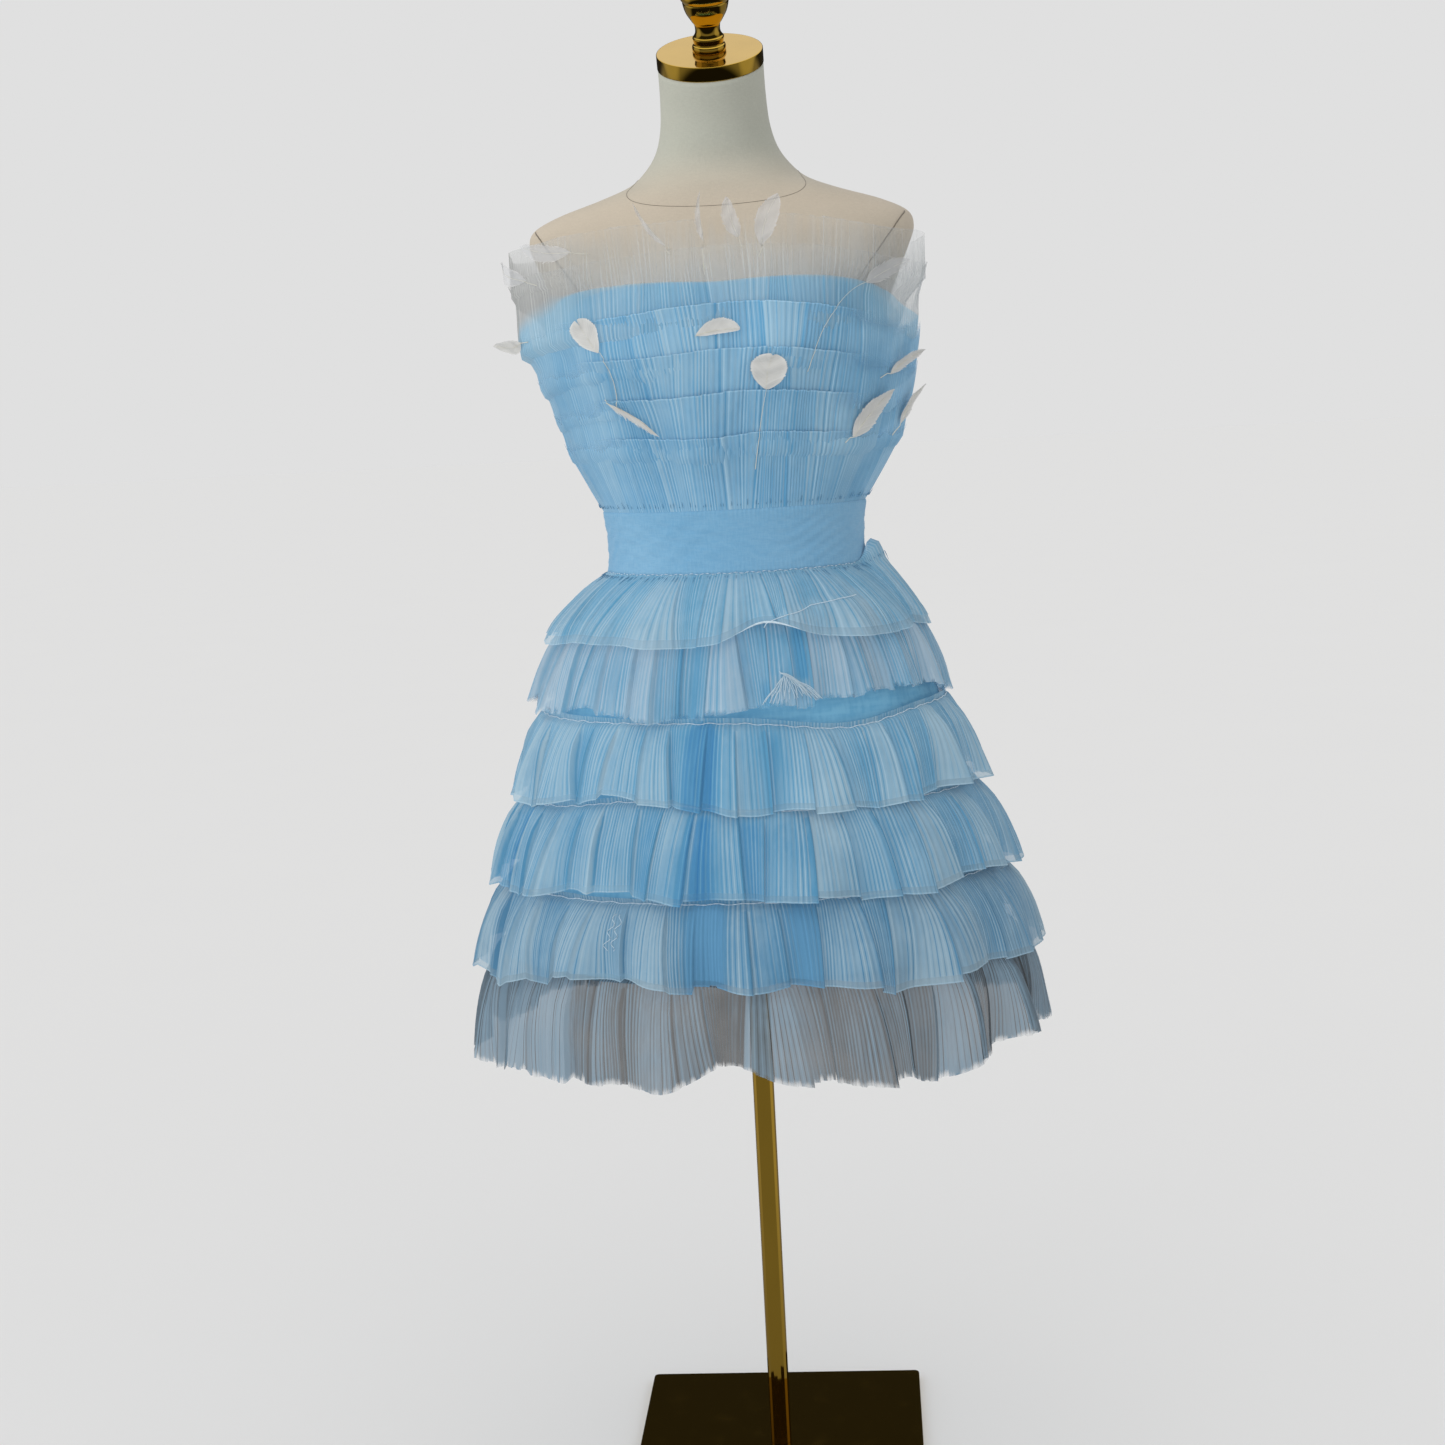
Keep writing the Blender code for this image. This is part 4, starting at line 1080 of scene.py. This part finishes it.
def add_tiers():
    """Tier points moved by a zigzag of the pleats and by the panels.

    A panel that widens towards the hem stands out by PANEL_OUT, one that narrows sinks in, and
    each slopes by PANEL_SLOPE, so that it laps over the next. Hems differ from panel to panel.
    """
    body = np.array([0.0, 0.03, 0.08, 0.16, 0.26, 0.38, 0.5, 0.62, 0.74, 0.84, 0.91, 0.95, 1.0])
    for number, row in enumerate(TIERS):
        seed, tall = number + 1.0, row.stitch - row.hem
        share = body
        if row.frill:
            share = np.concatenate([row.frill / tall * np.array([-1.0, -0.66, -0.33]), body])
        share = share[:, None]
        down = np.maximum(share, 0)
        head = np.clip(-share * tall / row.frill, 0, 1) if row.frill else 0 * share
        line, phase = pleat_columns(row.pleats, True)
        theta = fold_angle(line, row.waves, seed)
        index, across, shift, widens = panels(line, row.panels, seed)
        widens = row.contrast * widens
        turn = line + (shift - 0.3 * np.cos(theta) / (TAU * row.waves)) * down**0.8
        pleat = hashed(np.floor(phase + 0.5) + 17 * seed)
        grip = np.clip(down / 0.12, 0.4, 1.0) * np.where(share > 0.93, 0.6, 1.0) * (0.3 + 0.9 * pleat)
        extra = TIER_PLEAT_DEPTH * grip * zigzag(phase)
        extra = extra + TIER_CRINKLE * down * crinkle(line, share, seed)
        stands = PANEL_OUT * widens + PANEL_SLOPE * (2 * across - 1)
        extra = extra + smooth_step(down / 0.3) * row.contrast * stands
        extra = extra - SIDE_IN.get(row.name, 0.0) * down * bump(turn, SIDE_IN_TURN, SIDE_IN_SPREAD)
        uneven = 0.5 - 1.5 * hashed(index + 7 * seed) + 0.8 * (across - 0.5) * np.sin(9 * index)
        stagger = row.stagger * uneven
        if not row.frill:
            stagger = stagger + TORN_HEM * (hashed(np.floor(phase) + 3 * seed) - 0.5)
        lift = 0.0
        if row.name == "tier_1":
            puffed = bump(turn, PUFF_TURN, PUFF_SPREAD)
            extra = extra - PUFF_OUT * puffed * (1 - np.cos(np.pi * head)) / 2
            lift = PUFF_LIFT * puffed * np.sin(0.8 * np.pi * head)
            edge = np.interp(line, *zip(*FLAP))
            extra = extra + FLAP_OUT * smooth_step((share - edge) / 0.08) * along_flap(line)
        else:
            extra = extra + FRILL_OUT * head
        points = tier_points(number, turn, share + 0 * line, extra, stagger)
        points[..., 2] += lift
        uv = pleat_uv(phase, share, row.pleats, True)
        cloth = TULLE[row.name]
        made = add_surface(f"{row.name}_tulle", points, cloth, True, flip=True, uv=uv)
        # Fold: painted light on broad folds and painted shade in recesses, plus a random tone from panel
        # to panel.
        chance = 0.45 * row.contrast * (hashed(index + 11 * seed) - 0.5)
        set_float(made, "fold", tier_fold_shading(row.name, line, share, theta, widens) + chance)
        # Lap: the place across some panels, for a painted highlight and a painted shadow at their edges.
        shown = np.where(hashed(index + 23 * seed) > 0.3, across, 0.5)
        set_float(made, "lap_shading", 0.5 + (shown - 0.5) * smooth_step((share + 0.02) / 0.10))
        width = strip_length(on_skirt(RING_TURNS, row.hem, row.reach), row.waves, row.depth)
        declare(row.name)


def add_bodice_lining():
    """Lining from the waist to its curved top edge, straight between the two."""
    turns = np.linspace(OPENING_TURN, 1 - OPENING_TURN, 241)
    rows = np.linspace(0, 1, 40)[:, None]
    points = on_figure(turns, WAIST_LOW + (lining_top(turns) - WAIST_LOW) * rows, LINING_OUT)
    made = add_surface("bodice_lining_cloth", points, LINING)
    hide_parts("bodice_lining_front", "bodice_lining_back_left", "bodice_lining_back_right")


def add_underskirt():
    """The skirt's oval, drawn in a little, with nine soft waves that deepen down to the hem."""
    turns = np.arange(240) / 240
    rows = np.linspace(UNDERSKIRT_LOW, UNDERSKIRT_TOP, 40)[:, None]
    swing = UNDERSKIRT_SWING * waves(turns, 9, 2.0) * (UNDERSKIRT_TOP - rows) / 0.3
    points = on_skirt(turns, rows + 0 * turns, swing - UNDERSKIRT_IN)
    made = add_surface("underskirt_cloth", points, UNDERSKIRT, closed=True)
    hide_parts("underskirt_front", "underskirt_back")


def add_waistband():
    """A band moved out by products of sines as soft creases, puckered and tucked in at its edges."""
    turns = np.linspace(OPENING_TURN, 1 - OPENING_TURN, 601)
    rows = np.linspace(0, 1, 30)[:, None]
    angle = TAU * turns
    crease = np.sin(26 * rows + 5 * np.sin(3 * angle) + 2.5 * np.sin(7 * angle + 1))
    crease = crease * np.sin(9 * rows + 11 * np.sin(2 * angle + 2))
    fine = np.sin(70 * rows + 16 * angle) * np.sin(40 * angle + 9 * rows)
    middle = np.sin(np.pi * rows) ** 0.5
    pucker = 0.0004 * np.sin(190 * angle) * (1 - middle)
    tuck = 0.0016 * (np.clip(np.abs(2 * rows - 1) - 0.93, 0, 1) / 0.07) ** 2
    height = WAIST_LOW - 0.0010 + (WAIST_TOP - WAIST_LOW + 0.0028) * rows
    out = SHEET_OUT + 0.0007 + (0.0006 * crease + 0.0003 * fine) * middle + pucker - tuck
    made = add_surface("waistband_tulle", on_figure(turns, height, out), SASH)
    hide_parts("waistband")


def add_zip():
    """Closed coil up the centre back, as a tube whose radius swells at each tooth, and its slider."""
    rise = np.linspace(WAIST_LOW, LINING_TOP_BACK - 0.004, 560)
    path = on_figure(0 * rise, rise, LINING_OUT + 0.0003)
    coil = tube_points(path, 0.0010 + 0.0002 * np.sin(140 * TAU * np.linspace(0, 1, 560)), 6)
    made = add_surface("zip_coil", coil, SASH, closed=True, ends=True)
    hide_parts("back_zip")
    rise = np.linspace(LINING_TOP_BACK - 0.010, LINING_TOP_BACK - 0.002, 12)
    path = on_figure(0 * rise, rise, LINING_OUT + 0.0011)
    slider = tube_points(path, 0.0010 + 0.0012 * np.sin(np.linspace(0.3, 2.6, 12)), 10)
    add_surface("zip_slider", slider, SASH, closed=True, ends=True)


# Stitches and threads


def add_stitching():
    """Thread of wavy thickness along the stitches of three tiers and under the waistband.

    It also runs along the fold of the first tier's flap and thickens into its rolled hem.
    """
    threads = []
    line = np.arange(1560) / 1560
    for number, row in enumerate(TIERS):
        if row.frill < 0.002:
            continue
        path = tier_points(number, line, 0 * line, 0.0018)
        path[:, 2] += 0.0004 * np.sin(43 * TAU * line) + 0.0004 * np.sin(71 * TAU * line + number)
        path = np.concatenate([path, path[:1]])
        thick = 0.00042 + 0.00012 * np.sin(260 * TAU * np.append(line, 0))
        threads.append(tube_points(path, thick, 4))
    turn = np.linspace(0.378, 0.474, 90)
    crease = tier_points(0, turn, np.interp(turn, *zip(*FLAP)) + 0.03, 0.0040)
    threads.append(tube_points(crease, 0.0004, 4))
    turn = np.linspace(0.446, 0.494, 60)
    hem = tier_points(0, turn, 0.985 + 0 * turn, 0.0032 + 0.0005 * np.sin(900 * turn))
    threads.append(tube_points(hem, 0.0011 * np.sin(np.linspace(0.15, 3.0, 60)), 6))
    turn = np.linspace(0.002, 0.998, 1200)
    height = WAIST_LOW + 0.0004 + 0.0005 * np.sin(57 * TAU * turn)
    band_edge = on_figure(turn, height, SHEET_OUT + 0.0012)
    threads.append(tube_points(band_edge, 0.00022 + 0.00020 * np.sin(150 * TAU * turn), 4))
    add_tubes("skirt_stitching", threads, STITCH_THREAD)


def add_frayed_threads():
    """Threads torn loose from the second tier under the flap, and two from the fifth.

    Twenty fan out as they fall, seven sweep aside along a power of their length, and each bends
    by a sine.
    """
    frayed = []
    down = np.linspace(0, 1, 22)
    for number in range(20):
        chance, other = hashed(number + 0.5), hashed(number + 40.5)
        place = number / 19 - 0.5 + 0.05 * (chance - 0.5)
        turn = 0.461 + place * (0.010 + 0.028 * down**0.8) + 0.0004 * np.sin(7 * down + 6 * other)
        share = 0.60 + 0.12 * abs(place) + 0.05 * chance + (0.20 + 0.12 * other) * down
        out = 0.0035 + 0.004 * np.sin(np.pi * down) * chance + 0.0003 * np.sin(6 * down + 2 * number)
        frayed.append(tube_points(tier_points(1, turn, share, out), 0.00033 + 0.00015 * chance, 5))
    for number in range(7):
        turn = 0.466 - 0.0008 * number - (0.018 + 0.0012 * number) * down
        turn = turn + 0.0006 * np.sin(9 * down + number)
        share = 0.58 + 0.012 * number + 0.30 * down**1.6 + 0.01 * np.sin(7 * down + 2 * number)
        path = tier_points(1, turn, share, 0.0045 + 0.002 * np.sin(3 * down + number))
        frayed.append(tube_points(path, 0.00042, 5))
    for number in range(2):
        turn = 0.577 - 0.004 * number + 0.0016 * np.sin(17 * down + number) + 0.003 * down
        frayed.append(tube_points(tier_points(4, turn, 0.12 + 0.5 * down, 0.0045), 0.00035, 5))
    add_tubes("frayed_threads", frayed, FRAYED_THREAD)


def add_gather_tucks():
    """Short dark lines of chance length, painted shade in the gathers' tucks, down from the first tier's
    stitches and up the last ruffle.
    """
    tucks = []
    count = 150
    steps = np.linspace(0, 1, 4)
    thick = 0.0003 * np.array([0.6, 1.0, 0.8, 0.3])
    for number in range(count):
        turn, chance = (number + 0.8 * hashed(number)) / count, hashed(number + 200)
        share = 0.01 + (0.02 + 0.10 * chance**3) * steps
        tucks.append(tube_points(tier_points(0, turn + 0 * steps, share, 0.0012), thick, 4))
        turn = (turn + 0.001) % 1
        rise = 0.05 + (0.02 + 0.08 * chance**2) * steps
        tucks.append(tube_points(on_ruffle(5, turn + 0 * steps, rise, 0.0011), thick, 4))
    add_tubes("gather_tucks", tucks, TUCK_SHADE)


# Feathers


def bodice_top(turn, height, out):
    """Points over all the ruffles: the farthest out of those that reach this height."""
    far = on_figure(turn, height, SHEET_OUT + out)
    for number, row in enumerate(RUFFLES):
        stitch, tall = ruffle_span(row, turn)
        rise = (height - stitch) / tall
        point = on_ruffle(number, turn, np.clip(rise, 0.02, 1), out)
        point[..., 2] = height
        further = np.hypot(point[..., 0], point[..., 1]) > np.hypot(far[..., 0], far[..., 1])
        use = (further & (rise > 0) & (rise < 1))[..., None]
        far = np.where(use, point, far)
    return far


def feather_place(number, turn, rise, heading):
    """A function from metres along and across a feather to turns and shares of its ruffle."""
    half_width = through(CARRIER_TOP, FIGURE, 1)
    depth = through(CARRIER_TOP, FIGURE, 2 if 0.25 < turn < 0.75 else 3)
    girth = TAU * math.hypot(half_width * math.cos(TAU * turn), depth * math.sin(TAU * turn))
    tall = ruffle_span(RUFFLES[number], turn)[1]
    angle = math.radians(heading)

    def place(ahead, side):
        across = ahead * math.cos(angle) + side * math.sin(angle)
        up = ahead * math.sin(angle) - side * math.cos(angle)
        return turn - across / girth, rise + up / tall

    return place


def add_feathers():
    """Vanes whose half width is the sine of pi times the length to a power, cupped, with a quill.

    Below the vane the bare quill lies over the ruffles and bends aside by a square of its length.
    """
    along = np.linspace(0, 1, 31)[:, None]
    across = np.linspace(-1, 1, 17)
    for index, row in enumerate(FEATHERS, 1):
        shape, number, turn, rise, long, wide, heading, lift, bare, bend = row
        early, round_to, near, far, notch, parting = FEATHER_SHAPES[shape]
        veil = number in VEILS
        place = feather_place(number, turn, rise, heading)
        outline = np.sin(np.pi * np.clip(along, 0.01, 0.99) ** early) ** round_to
        half = np.where(across > 0, far, near) * wide / 2
        side = across * half * outline + FEATHER_CURL * long * np.sin(np.pi * along)
        tip = notch * long * bump(across, 0.15, 0.3) * along**4
        ahead = (along - 0.5) * long + 0.08 * wide * np.abs(across) * outline - tip
        out = FEATHER_OUT + lift * along**2 + 0.0016 * across**2 * np.sin(np.pi * along)
        out = out + 0.0005 * np.sin(14 * along + 3 * across)
        points = on_ruffle(number, *place(ahead, -side), out)
        uv = np.stack(np.broadcast_arrays(across, along), axis=-1)
        barbs = VEIL_FEATHER if veil else FEATHER
        made = add_surface(f"feather_{index:02d}_vane", points, barbs, uv=uv)
        set_float(made, "fold", parting + 0 * (along + across))
        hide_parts(f"feather_{index:02d}")

        steps = np.linspace(-bare / long - 0.03, 0.93, 40)
        below = np.maximum(-steps, 0) * long
        middle = FEATHER_CURL * long * np.sin(np.pi * np.clip(steps, 0, 1))
        aside = bend * (below / max(bare, 0.001)) ** 2
        turns, rises = place((steps - 0.5) * long, aside - middle)
        out = FEATHER_OUT + 0.0003 + lift * np.maximum(steps, 0) ** 2
        path = on_ruffle(number, turns, rises, out)
        stitch, tall = ruffle_span(RUFFLES[number], turns)
        over = bodice_top(turns, stitch + rises * tall, 0.0012)
        path = np.where((steps < -0.02)[:, None], over, path)
        thick = QUILL_RADIUS * np.linspace(1.0, 0.3, 40) * (0.7 if veil else 1.0)
        quill = tube_points(path, thick, 5)
        add_surface(f"feather_{index:02d}_quill", quill, QUILL, closed=True, ends=True)


# Surroundings


def add_camera():
    """Camera before the dress and a little to its left side, pitched down and rolled."""
    round_angle, roll = math.radians(CAMERA_ROUND), math.radians(CAMERA_ROLL)
    pitch = math.atan(TILT_PIXELS / LENS_PIXELS)
    ahead = np.array([-math.sin(round_angle), math.cos(round_angle), 0.0])
    right = np.array([math.cos(round_angle), math.sin(round_angle), 0.0])
    up = np.array([0.0, 0.0, 1.0])
    view = ahead * math.cos(pitch) - up * math.sin(pitch)
    level = np.cross(right, view)
    matrix = np.eye(4)
    matrix[:3, 0] = right * math.cos(roll) - level * math.sin(roll)
    matrix[:3, 1] = level * math.cos(roll) + right * math.sin(roll)
    matrix[:3, 2] = -view
    matrix[:3, 3] = CAMERA_HEIGHT * up - CAMERA_BACK * ahead - CAMERA_ASIDE * right
    data = bpy.data.cameras.new("front_camera")
    data.sensor_width = FILM_WIDTH
    data.lens = FILM_WIDTH * LENS_PIXELS / PICTURE_PIXELS
    data.clip_end = 60.0
    made = bpy.data.objects.new("front_camera", data)
    made.matrix_world = Matrix(matrix.tolist())
    bpy.context.scene.collection.objects.link(made)
    bpy.context.scene.camera = made


def add_sun():
    """Wide soft light from above and in front of the right side, which casts no shadows."""
    data = bpy.data.lights.new("key", "SUN")
    data.energy = SUN_STRENGTH
    data.angle = math.radians(SUN_WIDTH)
    data.use_shadow = False
    data.color = (1.0, 0.99, 0.97)
    made = bpy.data.objects.new("key", data)
    bpy.context.scene.collection.objects.link(made)
    made.rotation_euler = (math.radians(90 - SUN_HEIGHT), 0.0, math.radians(-SUN_SIDE))
    made.visible_glossy = False


def add_floor():
    """Plain floor, as grey as makes it as bright as the backdrop under the sun."""
    pale, nodes, shader = new_material("pale_floor", Roughness=0.95, Specular_IOR_Level=0.0)
    speck = nodes.noise(nodes.where(), 3.0, 2.0)
    sunlit = SUN_STRENGTH * math.sin(math.radians(SUN_HEIGHT)) / math.pi
    low, high = [(*[share * BACKDROP / (BACKDROP + sunlit)] * 3, 1.0) for share in (0.995, 1.005)]
    nodes.put(nodes.mix(speck, low, high), shader.inputs["Base Color"])
    mesh = bpy.data.meshes.new("floor")
    corners = [(x * FLOOR_REACH, y * FLOOR_REACH, 0) for x, y in ((-1, -1), (1, -1), (1, 1), (-1, 1))]
    mesh.from_pydata(corners, [], [(0, 1, 2, 3)])
    mesh.materials.append(pale)
    made = bpy.data.objects.new("floor", mesh)
    bpy.context.scene.collection.objects.link(made)
    made.visible_glossy = False


def add_world():
    """Pale studio all round; polished metal mirrors a dark room with a lit ceiling and sides."""
    world = bpy.data.worlds.new("studio")
    bpy.context.scene.world = world
    nodes = Nodes(world)
    plain = nodes.tree.nodes["Background"]
    plain.inputs["Color"].default_value = (*[BACKDROP] * 3, 1.0)
    room = nodes.add("ShaderNodeBackground")
    across, _, up = nodes.parts(nodes.add("ShaderNodeTexCoord").outputs["Generated"])
    ceiling = nodes.ramp(up, 0.52, 0.66)
    sides = nodes.math("MULTIPLY", nodes.ramp(nodes.math("ABSOLUTE", across), 0.80, 0.95), 0.5)
    under = nodes.ramp(up, -0.1, 0.05, 1.0, 0.1)
    low = nodes.math("MULTIPLY", nodes.ramp(up, -0.62, -0.42, 0.0, 0.24), under)
    bright = nodes.math("MAXIMUM", nodes.math("MAXIMUM", ceiling, sides), low)
    bright = nodes.math("MAXIMUM", bright, 0.012)
    nodes.put(nodes.mix(bright, (0.0, 0.0, 0.0, 1.0), (0.95, 0.95, 0.95, 1.0)), room.inputs["Color"])
    both = nodes.add("ShaderNodeMixShader")
    nodes.put(nodes.add("ShaderNodeLightPath").outputs["Is Glossy Ray"], both.inputs[0])
    nodes.put(plain.outputs[0], both.inputs[1])
    nodes.put(room.outputs[0], both.inputs[2])
    nodes.put(both.outputs[0], nodes.tree.nodes["World Output"].inputs[0])


def main():
    for name in ("base_plate", "pole", "pole_collar"):
        for material_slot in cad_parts[name].material_slots:
            material_slot.material = GOLD
    add_form()
    add_cap_and_finial()
    add_bodice_lining()
    add_underskirt()
    add_waistband()
    add_zip()
    add_ruffles()
    add_tiers()
    add_stitching()
    add_frayed_threads()
    add_gather_tucks()
    add_feathers()
    add_camera()
    add_world()
    add_floor()
    add_sun()
    bpy.context.scene.view_settings.view_transform = "Standard"


main()
